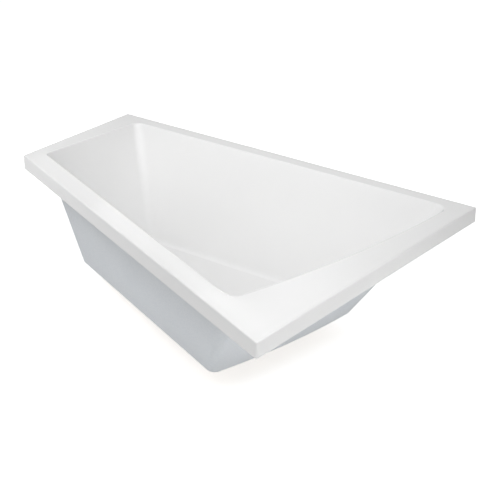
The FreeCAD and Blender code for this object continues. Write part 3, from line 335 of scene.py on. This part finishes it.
def make_fibre():
    material, tree, surface = new_material("fibre_skin_grey")
    strands = all_strands(tree)
    pools = effect(tree, "mottle", 5.0)
    resin = mix_colours(tree, pools, RESIN_DEEP, RESIN_PALE)
    faint = spread(tree, strands, 0.0, 0.45)
    join(tree, mix_colours(tree, faint, resin, STRAND_PALE), surface.inputs["Base Color"])
    join(tree, spread(tree, pools, 0.5, 0.68), surface.inputs["Roughness"])
    coarse = bump(tree, pools, POOL_DEPTH, 0.3)
    join(tree, bump(tree, strands, STRAND_DEPTH, 0.5, coarse), surface.inputs["Normal"])
    set_values(surface, IOR=1.52)
    return material


fibre = make_fibre()
print("made", fibre.name)

# %% [markdown]
# ## Plywood
#
# The base board and the four stiffeners under the rim are birch plywood, with long grain on the faces and
# stripes of plies on the edges. Two materials could be given face by face, but the boards' meshes are kept
# as they are. So one material holds both, and the surface's upright direction chooses between them: the
# face is noise stretched along the board, and the edge is a wave that repeats with the height.


# %% Plywood
FACE_DARK, FACE_PALE = (0.62, 0.49, 0.34), (0.78, 0.66, 0.49)
EDGE_DARK, EDGE_PALE = (0.46, 0.34, 0.22), (0.76, 0.63, 0.46)
GRAIN_STRETCH = (1.5, 26.0, 26.0)
GRAIN_DEPTH = 0.0006


def wood_figure(tree, place):
    stretch = set_values(add(tree, "ShaderNodeMapping"), Scale=GRAIN_STRETCH)
    figure = set_values(add(tree, "ShaderNodeTexNoise"), Scale=3.0, Detail=6.0, Distortion=1.2)
    join(tree, place, stretch.inputs["Vector"])
    join(tree, stretch.outputs["Vector"], figure.inputs["Vector"])
    return figure.outputs["Fac"]


def plies(tree, place):
    wave = add(tree, "ShaderNodeTexWave", bands_direction="Z")
    set_values(wave, Scale=105.0, Distortion=0.6, Detail=2.0)
    join(tree, place, wave.inputs["Vector"])
    return wave.outputs["Fac"]


def lies_flat(tree):
    """1 on faces that look up or down, 0 on upright ones."""
    parts = add(tree, "ShaderNodeSeparateXYZ")
    join(tree, add(tree, "ShaderNodeNewGeometry").outputs["Normal"], parts.inputs["Vector"])
    flat = add(tree, "ShaderNodeMath", operation="ABSOLUTE")
    join(tree, parts.outputs["Z"], flat.inputs[0])
    return flat.outputs["Value"]


def make_plywood():
    material, tree, surface = new_material("plywood_birch")
    place = object_coordinates(tree)
    figure = wood_figure(tree, place)
    face = mix_colours(tree, figure, FACE_DARK, FACE_PALE)
    edge = mix_colours(tree, plies(tree, place), EDGE_DARK, EDGE_PALE)
    join(tree, mix_colours(tree, lies_flat(tree), edge, face), surface.inputs["Base Color"])
    join(tree, spread(tree, figure, 0.6, 0.8), surface.inputs["Roughness"])
    join(tree, bump(tree, figure, GRAIN_DEPTH, 0.4), surface.inputs["Normal"])
    return material


plywood = make_plywood()
print("made", plywood.name)

# %% [markdown]
# ## Plated and turned metals
#
# The waste is chromed, its cartridge is turned brass, and the screws, nuts and spindles are zinc-plated. Each
# could have its own graph, but they differ in colour and gloss and not in kind, so one recipe serves all
# three: clouds change the tone and the gloss, and scuffs dull the gloss a little more and cut a fine groove.


# %% Chrome, brass and zinc
SCUFF_DULLING = 0.12
SCUFF_DEPTH = 0.00003


def make_metal(name, low, high, bright, dull, cloud_scale, scuff_scale):
    """low and high are colours; bright and dull are the roughness between the scuffs."""
    material, tree, surface = new_material(name)
    clouds = effect(tree, "mottle", cloud_scale)
    scratches = effect(tree, "scuffs", scuff_scale)
    join(tree, mix_colours(tree, clouds, low, high), surface.inputs["Base Color"])
    marks = add(tree, "ShaderNodeMath", operation="MULTIPLY_ADD")
    marks.inputs[1].default_value = SCUFF_DULLING
    join(tree, scratches, marks.inputs[0])
    join(tree, spread(tree, clouds, bright, dull), marks.inputs[2])
    join(tree, marks.outputs["Value"], surface.inputs["Roughness"])
    join(tree, bump(tree, scratches, SCUFF_DEPTH, 0.3), surface.inputs["Normal"])
    set_values(surface, Metallic=1.0)
    return material


CHROME_COLOURS = ((0.80, 0.81, 0.83), (0.88, 0.89, 0.90))
BRASS_COLOURS = ((0.66, 0.48, 0.20), (0.80, 0.63, 0.32))
ZINC_COLOURS = ((0.56, 0.57, 0.56), (0.74, 0.74, 0.71))
chrome = make_metal("chrome_polished", *CHROME_COLOURS, 0.05, 0.12, cloud_scale=30.0, scuff_scale=50.0)
brass = make_metal("brass_turned", *BRASS_COLOURS, 0.22, 0.34, cloud_scale=60.0, scuff_scale=90.0)
zinc = make_metal("steel_zinc_plated", *ZINC_COLOURS, 0.28, 0.42, cloud_scale=45.0, scuff_scale=80.0)
print("made metals:", chrome.name, brass.name, zinc.name)

# %% [markdown]
# ## Galvanised steel
#
# The two rails were dipped in molten zinc, which freezes in flat crystals a centimetre across. The recipe
# above has only soft clouds, so the rails get their own: a cell pattern gives each crystal one grey and one
# gloss of its own, and the scuffs of the shared group run across them.


# %% Galvanised steel
CRYSTAL_SCALE = 110.0
CRYSTAL_DARK, CRYSTAL_PALE = (0.46, 0.48, 0.50), (0.68, 0.70, 0.71)
SCORED = (0.78, 0.79, 0.8)
CRYSTAL_DEPTH = 0.0001


def make_galvanised():
    material, tree, surface = new_material("steel_galvanised")
    crystals = set_values(add(tree, "ShaderNodeTexVoronoi"), Scale=CRYSTAL_SCALE)
    join(tree, object_coordinates(tree), crystals.inputs["Vector"])
    chance = add(tree, "ShaderNodeSeparateColor")
    join(tree, crystals.outputs["Color"], chance.inputs["Color"])
    scratches = effect(tree, "scuffs", 40.0)
    spangle = mix_colours(tree, chance.outputs["Red"], CRYSTAL_DARK, CRYSTAL_PALE)
    scored = mix_colours(tree, spread(tree, scratches, 0.0, 0.4), spangle, SCORED)
    join(tree, scored, surface.inputs["Base Color"])
    join(tree, spread(tree, chance.outputs["Green"], 0.3, 0.5), surface.inputs["Roughness"])
    join(tree, bump(tree, crystals.outputs["Distance"], CRYSTAL_DEPTH, 0.3), surface.inputs["Normal"])
    set_values(surface, Metallic=1.0)
    return material


galvanised = make_galvanised()
print("made", galvanised.name)

# %% [markdown]
# ## Moulded plastics and rubber
#
# The trap is white plastic, its pipe grey, the foot pads black, and the seals are rubber. All of them come
# out of a mould, so all of them show a slightly clouded colour and the fine grain of the mould's wall. Four
# graphs could be drawn; one recipe with different colours, gloss and depth is enough, and it keeps the
# family alike.


# %% Plastics and rubber
def make_moulded(name, low, high, bright, dull, cloud_scale, grain_scale, depth):
    """low and high are colours, bright and dull the roughness, and depth the grain's height in metres."""
    material, tree, surface = new_material(name)
    clouds = effect(tree, "mottle", cloud_scale)
    skin = effect(tree, "grain", grain_scale)
    join(tree, mix_colours(tree, clouds, low, high), surface.inputs["Base Color"])
    join(tree, spread(tree, clouds, bright, dull), surface.inputs["Roughness"])
    join(tree, bump(tree, skin, depth, 0.5), surface.inputs["Normal"])
    return material


BLACK_RUBBER = ((0.016, 0.016, 0.018), (0.034, 0.034, 0.036))
DRAIN_WHITE = ((0.72, 0.72, 0.70), (0.79, 0.79, 0.77))
PIPE_GREY = ((0.30, 0.31, 0.32), (0.37, 0.38, 0.39))
FOOT_BLACK = ((0.022, 0.022, 0.024), (0.045, 0.045, 0.047))
rubber = make_moulded("rubber_black", *BLACK_RUBBER, 0.62, 0.8, 40.0, 1400.0, 0.0001)
drain_plastic = make_moulded("plastic_drain_white", *DRAIN_WHITE, 0.34, 0.46, 18.0, 900.0, 0.00006)
pipe_plastic = make_moulded("plastic_pipe_grey", *PIPE_GREY, 0.36, 0.5, 14.0, 700.0, 0.00006)
foot_plastic = make_moulded("plastic_foot_black", *FOOT_BLACK, 0.5, 0.64, 30.0, 800.0, 0.00015)
print("made plastics:", rubber.name, drain_plastic.name, pipe_plastic.name, foot_plastic.name)

# %% [markdown]
# ## Handing out the materials
#
# On the real bath each piece has one material. They could be handed out by name, piece by piece, but the
# model's record already names a slot for every piece, so a table from slot to material is shorter and
# leaves no piece out.

# %% Give every piece its material
by_slot = {
    "acrylic": acrylic,
    "fibre_skin": fibre,
    "plywood": plywood,
    "chrome": chrome,
    "rubber": rubber,
    "drain_plastic": drain_plastic,
    "pipe_plastic": pipe_plastic,
    "brass": brass,
    "galvanised": galvanised,
    "zinc": zinc,
    "foot_plastic": foot_plastic,
}
for row in frame["record"]["subparts"]:
    mesh = nodes[row["node"]].data
    mesh.materials.clear()
    mesh.materials.append(by_slot[row["material_slot"]])

# %% [markdown]
# ## Shapes from rings
#
# The screws, spindles and ribs of the bath are turned or moulded, so each of them is a row of rings about an
# upright axis. Blender's cylinders could be edited into shape, but a thread or a slot needs every ring under
# control. These helpers make one ring from its distances to the axis, close a tube through many rings, turn
# and carry points to their place, and gather many shapes into one.


# %% Ring helpers
def ring_at(reaches, z):
    """A ring about the upright axis, with one point for each distance in the list."""
    step = 2.0 * math.pi / len(reaches)
    return [(r * math.cos(i * step), r * math.sin(i * step), z) for i, r in enumerate(reaches)]


def closed_tube(rings):
    """Points and faces of a tube through the rings, closed at both ends."""
    count = len(rings[0])
    points = [point for ring in rings for point in ring]
    last = len(points) - count
    faces = []
    for start in range(0, last, count):
        for i in range(count):
            j = (i + 1) % count
            faces.append((start + i, start + j, start + count + j, start + count + i))
    faces.append(tuple(reversed(range(count))))
    faces.append(tuple(range(last, last + count)))
    return points, faces


def turned(points, angle):
    cosine, sine = math.cos(angle), math.sin(angle)
    return [(x * cosine - y * sine, x * sine + y * cosine, z) for x, y, z in points]


def moved(points, x, y):
    return [(px + x, py + y, pz) for px, py, pz in points]


def gather(shapes):
    """The points and faces of many shapes, as one shape."""
    points, faces = [], []
    for shape_points, shape_faces in shapes:
        first = len(points)
        points.extend(shape_points)
        faces.extend(tuple(first + i for i in face) for face in shape_faces)
    return points, faces


print("ring helpers ready")

# %% [markdown]
# ## New pieces
#
# A piece that the construction model draws plainly is made again here, and must move as the real one does:
# a rib on a foot goes up and down with that foot. It could be parented by hand; a call here does it by the
# name of the body, and the piece takes its material from the table of slots.


# %% Make a piece that rides on a body
SMOOTH_BELOW = 0.6  # radians between two faces that still shade as one


def middle_of(node):
    low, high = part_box(node)
    return (low + high) / 2.0


def new_piece(name, points, faces, slot, body):
    mesh = bpy.data.meshes.new(name)
    mesh.from_pydata(points, [], faces)
    mesh.validate()
    mesh.shade_smooth()
    mesh.set_sharp_from_angle(angle=SMOOTH_BELOW)
    mesh.materials.append(by_slot[slot])
    piece = bpy.data.objects.new(name, mesh)
    bpy.context.scene.collection.objects.link(piece)
    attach(piece, body)
    return piece


print("pieces can be made")

# %% [markdown]
# ## Threads on the feet
#
# Each foot turns on a threaded spindle. The construction model draws it as a plain rod. A screw modifier
# could wind a profile, but its ends would stay open. Here rings go up the rod in small steps, each distance
# follows the thread's ridge as it winds, and both ends close with a bevel.


# %% The thread
THREAD_PITCH = 0.00175
THREAD_DEPTH = 0.0009
STEPS_IN_A_PITCH = 8
ROD_SIDES = 24


def ridge(turns):
    """Height of the thread's ridge, 0 to 1, at a place counted in turns."""
    return max(0.0, min(1.0, 1.5 - abs(turns % 1.0 - 0.5) * 4.0))


def rod_rings(radius, low, high, bevel):
    steps = int((high - low) / (THREAD_PITCH / STEPS_IN_A_PITCH))
    rings = []
    for step in range(steps + 1):
        z = low + (high - low) * step / steps
        limit = radius - max(0.0, bevel - (high - z), bevel - (z - low))
        reaches = []
        for i in range(ROD_SIDES):
            groove = THREAD_DEPTH * (1.0 - ridge((z - low) / THREAD_PITCH - i / ROD_SIDES))
            reaches.append(min(limit, radius - groove))
        rings.append(ring_at(reaches, z))
    return rings


print("thread of", THREAD_PITCH * 1000.0, "mm pitch")

# %% [markdown]
# ## Hexagons and spindles
#
# Above its pad every spindle carries a hexagon, to hold a spanner when the bath is levelled. A cylinder with
# six sides is the quick way, but a real hexagon has its corners turned off at both ends. So each ring follows
# the six flats and stops at a circle, which is smaller at the ends. Rod and hexagon together replace the
# plain spindle and ride on its foot.


# %% Threaded spindles
SPINDLE_RADIUS = 0.006
SPINDLE_BEVEL = 0.0015
COLLAR_ABOVE_END = 0.013
COLLAR_HEIGHT = 0.008
COLLAR_FLATS = 0.017
COLLAR_BEVEL = 0.0012
BEVEL_RISE = 0.6  # height of the collar's bevel, as a share of its width
COLLAR_POINTS = 36


def flats_reach(angle):
    """Distance from the axis to the hexagon's flat, in one direction."""
    from_flat = angle % (math.pi / 3.0) - math.pi / 6.0
    return COLLAR_FLATS / 2.0 / math.cos(from_flat)


def collar_rings(low):
    high = low + COLLAR_HEIGHT
    rise = COLLAR_BEVEL * BEVEL_RISE
    corner = COLLAR_FLATS / math.sqrt(3.0)
    flats = [flats_reach(2.0 * math.pi * i / COLLAR_POINTS) for i in range(COLLAR_POINTS)]
    rings = []
    for z, inset in ((low, COLLAR_BEVEL), (low + rise, 0.0), (high - rise, 0.0), (high, COLLAR_BEVEL)):
        rings.append(ring_at([min(reach, corner - inset) for reach in flats], z))
    return rings


for letter in "abcd":
    node = "foot_spindle_" + letter
    low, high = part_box(node)
    rod = closed_tube(rod_rings(SPINDLE_RADIUS, low.z, high.z, SPINDLE_BEVEL))
    collar = closed_tube(collar_rings(low.z + COLLAR_ABOVE_END))
    points, faces = gather([rod, collar])
    middle = middle_of(node)
    points = moved(points, middle.x, middle.y)
    spindle = new_piece("threaded_spindle_" + letter, points, faces, "zinc", "foot_" + letter)
    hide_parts(node)
    print("threaded", spindle.name, len(faces), "faces")

# %% [markdown]
# ## Ribs on the foot pads
#
# A real foot pad is a hollow moulding, stiffened by thin ribs that run from its neck down to its edge. They
# could be a bump in the material, but the outline of the pad would stay smooth, so each rib is a small
# plate of its own. The construction model's pad stays, and the ribs stand on its slope and ride with it.


# %% Ribs on the pads
RIBS = 10
RIB_HALF = 0.0009
RIB_ROOT = 0.0015  # half thickness at the two corners inside the pad
ROOT_CORNERS = 2
RIB_OUTLINE = [  # distance from the pad's axis, and height above the floor
    (0.0120, 0.0140),
    (0.0235, 0.0040),
    (0.0244, 0.0062),
    (0.0152, 0.0176),
    (0.0120, 0.0196),
]


def rib_plate():
    """Points and faces of one rib, a plate that is thicker where it meets the pad."""
    points = []
    for side in (-1.0, 1.0):
        for number, (reach, z) in enumerate(RIB_OUTLINE):
            half = RIB_ROOT if number < ROOT_CORNERS else RIB_HALF
            points.append((reach, side * half, z))
    count = len(RIB_OUTLINE)
    faces = [tuple(range(count)), tuple(reversed(range(count, 2 * count)))]
    for i in range(count):
        j = (i + 1) % count
        faces.append((j, i, count + i, count + j))
    return points, faces


corners, sides = rib_plate()
turns = [2.0 * math.pi * number / RIBS for number in range(RIBS)]
rib_points, rib_faces = gather([(turned(corners, turn), sides) for turn in turns])
for letter in "abcd":
    middle = middle_of("foot_pad_" + letter)
    points = moved(rib_points, middle.x, middle.y)
    ribs = new_piece("pad_ribs_" + letter, points, rib_faces, "foot_plastic", "foot_" + letter)
    print("made", ribs.name, "with", RIBS, "ribs")

# %% [markdown]
# ## A cross-slot screw
#
# Eight pan-head wood screws hold the rails to the base board, heads down. Cutting the slot with a boolean
# is possible, but it leaves thin slivers on so small a head. Rings do better: the first ring is the slot's
# floor, the second its cross-shaped edge, the next ones swell to the head, and the last close the point.


# %% Rings of a screw
SCREW_SIDES = 48
CROSS_ARM = 0.0025
CROSS_HALF = 0.00055
CROSS_FLOOR = 0.6  # size of the slot's floor, as a share of its edge
CROSS_DEPTH = 0.0014
EDGE_DEPTH = 0.0001
HEAD_SWELL = ((0.0027, 0.0), (0.0036, 0.0003), (0.0042, 0.0009), (0.0044, 0.0016))  # radius, height
HEAD_RADIUS = 0.0044
SHANK_RADIUS = 0.0022
POINT_RADIUS = 0.0001
SHANK_IN_BOARD = 0.011
POINT_IN_BOARD = 0.014
RAIL_SHEET = 0.002


def cross_reach(angle):
    """Distance from the middle to the edge of the cross, in one direction."""
    turn = (angle + math.pi / 4.0) % (math.pi / 2.0) - math.pi / 4.0
    along, across = math.cos(turn), abs(math.sin(turn))
    return CROSS_ARM / along if across * CROSS_ARM <= CROSS_HALF * along else CROSS_HALF / across


def screw_rings(bottom, board):
    """Rings from the slot in the head, at the bottom, up to the point in the board."""
    cross = [cross_reach(2.0 * math.pi * i / SCREW_SIDES) for i in range(SCREW_SIDES)]
    slot_floor = ring_at([reach * CROSS_FLOOR for reach in cross], bottom + CROSS_DEPTH)
    slot_edge = ring_at(cross, bottom + EDGE_DEPTH)
    seat = board - RAIL_SHEET
    outline = [(reach, bottom + rise) for reach, rise in HEAD_SWELL]
    outline += [(HEAD_RADIUS, seat), (SHANK_RADIUS, seat)]
    outline += [(SHANK_RADIUS, board + SHANK_IN_BOARD), (POINT_RADIUS, board + POINT_IN_BOARD)]
    return [slot_floor, slot_edge] + [ring_at([reach] * SCREW_SIDES, z) for reach, z in outline]


print("screw with", SCREW_SIDES, "sides ready")

# %% [markdown]
# ## Placing the screws
#
# Each rail has a flange on both sides, with a screw near both ends of each flange. The eight places could be
# typed in; they are worked out from the boxes of the rails and of the plain screws, so that they stay right
# if the rails move. All eight are one piece, as in the construction model, and replace the plain ones.

# %% Rail screws
SCREW_ACROSS = 0.0265  # from the middle of the rail to a screw in its flange
SCREW_FROM_END = 0.012

screws_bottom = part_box("rail_screws")[0].z
screw_shapes = []
for rail in ("foot_rail_narrow", "foot_rail_wide"):
    low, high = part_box(rail)
    rail_middle = (low.x + high.x) / 2.0
    rings = screw_rings(screws_bottom, high.z)
    for x in (rail_middle - SCREW_ACROSS, rail_middle + SCREW_ACROSS):
        for y in (low.y + SCREW_FROM_END, high.y - SCREW_FROM_END):
            screw_shapes.append(closed_tube([moved(ring, x, y) for ring in rings]))
points, faces = gather(screw_shapes)
screws = new_piece("cross_slot_screws", points, faces, "zinc", "tub")
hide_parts("rail_screws")
print("made", screws.name, "with", len(screw_shapes), "screws")

# %% [markdown]
# ## Grip ribs on the trap
#
# The trap's bowl unscrews by hand for cleaning, so its edge carries small upright ribs for the fingers. An
# array modifier round an empty could repeat one rib; a loop over the angle is shorter and leaves a plain
# mesh. The ribs sink halfway into the edge that they stand on, just below the bowl's seal.


# %% Ribs on the bowl
GRIPS = 36
GRIP_RADIUS = 0.0011
GRIP_SIDES = 8
GRIP_END = 0.6  # size of a rib's end, as a share of its middle
GRIP_BEVEL = 0.0005
GRIP_TOP = 0.0002  # from the seal down to the ribs' upper ends
GRIP_BOTTOM = 0.0038
GRIP_SINK = 0.0001


def grip_rings(low, high):
    """Rings of one rib about its own axis, with smaller ends."""
    middle_ring = [GRIP_RADIUS] * GRIP_SIDES
    end_ring = [GRIP_RADIUS * GRIP_END] * GRIP_SIDES
    return [
        ring_at(end_ring, low),
        ring_at(middle_ring, low + GRIP_BEVEL),
        ring_at(middle_ring, high - GRIP_BEVEL),
        ring_at(end_ring, high),
    ]


seal_low, seal_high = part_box("bowl_seal")
bowl_radius = (seal_high.x - seal_low.x) / 2.0
grip, grip_faces = closed_tube(grip_rings(seal_low.z - GRIP_BOTTOM, seal_low.z - GRIP_TOP))
grip = moved(grip, bowl_radius - GRIP_SINK, 0.0)
turns = [2.0 * math.pi * number / GRIPS for number in range(GRIPS)]
points, faces = gather([(turned(grip, turn), grip_faces) for turn in turns])
middle = middle_of("bowl_seal")
points = moved(points, middle.x, middle.y)
bowl_grip = new_piece("bowl_grip_ribs", points, faces, "drain_plastic", "tub")
print("made", bowl_grip.name, "on a radius of", round(bowl_radius, 4))

# %% [markdown]
# ## Floor
#
# The bath was photographed on white. A picture of white could be put behind it, but it would hide the
# bath's own shadow. So the floor is a real pale plane that glows a little for the camera, in gloss and
# through anything clear, and turns white where nothing shades it.


# %% Pale floor
FLOOR_HALF = 30.0
FLOOR_DEEP, FLOOR_PALE = (0.78, 0.78, 0.78), (0.80, 0.80, 0.80)
DARK, WHITE = (0.0, 0.0, 0.0), (1.0, 1.0, 1.0)


def seen_directly(tree):
    """1 for what the camera sees straight, in a gloss or through something clear; 0 for light."""
    path = add(tree, "ShaderNodeLightPath")
    seen = path.outputs["Is Camera Ray"]
    for ray in ("Is Glossy Ray", "Is Transmission Ray"):
        either = add(tree, "ShaderNodeMath", operation="MAXIMUM")
        join(tree, seen, either.inputs[0])
        join(tree, path.outputs[ray], either.inputs[1])
        seen = either.outputs["Value"]
    return seen


def make_floor_material():
    material, tree, surface = new_material("floor_pale")
    clouds = effect(tree, "mottle", 0.8)
    join(tree, mix_colours(tree, clouds, FLOOR_DEEP, FLOOR_PALE), surface.inputs["Base Color"])
    glow = mix_colours(tree, seen_directly(tree), DARK, WHITE)
    join(tree, glow, surface.inputs["Emission Color"])
    set_values(surface, Roughness=0.9, Specular_IOR_Level=0.0, Emission_Strength=0.7)
    return material


def make_floor():
    mesh = bpy.data.meshes.new("studio_floor")
    signs = ((-1, -1), (1, -1), (1, 1), (-1, 1))
    corners = [(x * FLOOR_HALF, y * FLOOR_HALF, 0.0) for x, y in signs]
    mesh.from_pydata(corners, [], [(0, 1, 2, 3)])
    mesh.materials.append(make_floor_material())
    floor = bpy.data.objects.new("studio_floor", mesh)
    bpy.context.scene.collection.objects.link(floor)
    return floor


floor = make_floor()
print("made", floor.name)

# %% [markdown]
# ## World
#
# A studio's white walls send some light to every side of the bath. Many weak lamps could stand for them; the
# world does it with one number. It is pure white where the camera sees it, and much weaker as a light, so
# that the lamps still give the bath its shape.


# %% White world
AMBIENT = 0.43


def make_world():
    world = bpy.data.worlds.new("studio")
    world.use_nodes = True
    tree = world.node_tree
    tree.nodes.clear()
    light = set_values(add(tree, "ShaderNodeBackground"), Color=(*WHITE, 1.0))
    strength = spread(tree, seen_directly(tree), AMBIENT, 1.0)
    join(tree, strength, light.inputs["Strength"])
    output = add(tree, "ShaderNodeOutputWorld")
    join(tree, light.outputs["Background"], output.inputs["Surface"])
    return world


bpy.context.scene.world = make_world()
print("world lights with", AMBIENT)

# %% [markdown]
# ## A soft lamp
#
# A studio lamp is a bright sheet behind cloth, and a grid in front of it narrows its beam. A point lamp with
# a large radius would be soft too, but it has no edge to narrow. So every lamp here is an area lamp, aimed
# at a target, with a spread for its grid. The low ones only fill the shade and are left out of reflections.


# %% Area lamps
GLOSS_FROM = 1.0  # lamps lower than this leave no glare in the acrylic


def area_lamp(name, place, target, size, spread_angle, power, turn=0.0):
    data = bpy.data.lights.new(name, "AREA")
    data.shape = "RECTANGLE"
    data.size, data.size_y = size
    data.spread = math.radians(spread_angle)
    data.energy = power
    lamp = bpy.data.objects.new(name, data)
    bpy.context.scene.collection.objects.link(lamp)
    lamp.location = place
    lamp.rotation_mode = "QUATERNION"
    aim = (Vector(target) - lamp.location).to_track_quat("-Z", "Y")
    lamp.rotation_quaternion = aim @ Quaternion((0.0, 0.0, 1.0), math.radians(turn))
    lamp.visible_camera = False
    lamp.visible_glossy = lamp.location.z > GLOSS_FROM
    return lamp


print("lamps can be placed")

# %% [markdown]
# ## Placing the lamps
#
# In the photograph the ledges are bright, the walls of the basin a step darker, and the grey skin lies in the
# shade of the rim. One large lamp could light all of this, but not with those steps between the faces. So
# soft keys and long strips from the front, and one lamp high over each end, do most of the work. Small lamps
# with a narrow spread then lift single faces: the ledges, the narrow wall, the upright edges and the skin.

# %% Lamps
FULL = 180.0  # degrees, a lamp without a grid
ALONG_FRONT = -22.4  # degrees that turn a long lamp along the slanting front
LAMPS = [  # name, place, target, size, spread in degrees, power in watts, turn in degrees
    ("front_key", (0.2, -1.3, 2.3), (0.0, 0.1, 0.5), (1.4, 1.0), FULL, 2.7),
    ("right_key", (1.2, -1.5, 2.3), (0.4, -0.2, 0.5), (1.2, 1.0), FULL, 2.1),
    ("front_strip_high", (-0.1, -1.7, 2.0), (-0.1, 0.4, 0.45), (2.4, 0.4), FULL, 4.3),
    ("front_strip_low", (-0.2, -2.1, 1.4), (-0.2, 0.5, 0.45), (2.4, 0.4), FULL, 2.1),
    ("end_top", (1.9, -0.2, 2.2), (0.5, 0.0, 0.5), (1.0, 1.0), FULL, 7.6),
    ("narrow_top", (-1.9, 0.45, 3.1), (0.0, 0.45, 0.1), (0.8, 0.8), FULL, 2.9),
    ("basin_strip", (-0.2, -0.9, 1.7), (-0.2, 0.66, 0.42), (2.2, 0.3), 60.0, 2.77),
    ("narrow_wall", (0.5, 0.25, 1.0), (-0.8, 0.45, 0.5), (0.4, 0.1), 40.0, 0.054),
    ("wide_ledge", (0.76, -0.46, 1.5), (0.74, -0.36, 0.6), (0.3, 0.55), 35.0, 0.094),
    ("front_ledge", (0.0, -0.35, 1.5), (0.0, -0.28, 0.6), (1.9, 0.08), 15.0, 0.063, ALONG_FRONT),
    ("near_ledge", (0.2, -0.44, 1.5), (0.2, -0.37, 0.6), (1.0, 0.08), 15.0, 0.062, ALONG_FRONT),
    ("corner_floor", (1.6, -0.9, 1.4), (1.3, -0.7, 0.0), (0.8, 0.8), 80.0, 1.74),
    ("corner_low", (2.6, -1.6, 0.6), (0.8, -0.5, 0.5), (1.0, 0.6), FULL, 2.6),
    ("end_low", (3.2, 0.2, 0.5), (0.9, 0.2, 0.5), (1.0, 0.6), FULL, 0.4),
    ("front_under", (0.15, -2.0, 0.12), (0.05, -0.3, 0.18), (1.2, 0.12), 16.0, 0.1),
    ("end_under", (2.4, 0.0, 0.15), (0.7, 0.1, 0.3), (0.8, 0.12), 40.0, 0.43),
    ("back_low", (0.0, 3.2, 0.45), (0.0, 0.7, 0.4), (1.6, 0.4), FULL, 12.0),
    ("narrow_low", (-3.2, 0.7, 0.45), (-0.9, 0.4, 0.4), (0.8, 0.4), FULL, 5.0),
]
for lamp_row in LAMPS:
    area_lamp(*lamp_row)
print("placed", len(LAMPS), "lamps")

# %% [markdown]
# ## Camera
#
# The photograph looks down on the bath from in front of the wide end. A camera could be turned by eye until
# it looks right; here its place, angles and lens were worked out from the corners and edges of the rim,
# whose real sizes are known, because that also shows where the shapes differ.

# %% Camera
CAMERA_PLACE = (3.504, -4.103, 2.880)
CAMERA_ANGLES = (65.53, 0.22, 37.622)  # degrees about x, y and z
CAMERA_LENS = 109.68  # millimetres, on a sensor 36 mm wide
SENSOR_WIDTH = 36.0

camera_data = bpy.data.cameras.new("photo_camera")
camera_data.sensor_width = SENSOR_WIDTH
camera_data.lens = CAMERA_LENS
camera = bpy.data.objects.new("photo_camera", camera_data)
bpy.context.scene.collection.objects.link(camera)
camera.location = CAMERA_PLACE
camera.rotation_euler = [math.radians(angle) for angle in CAMERA_ANGLES]
bpy.context.scene.camera = camera
bpy.context.scene.view_settings.view_transform = "Standard"
print("camera at", CAMERA_PLACE, "with a lens of", CAMERA_LENS, "mm")
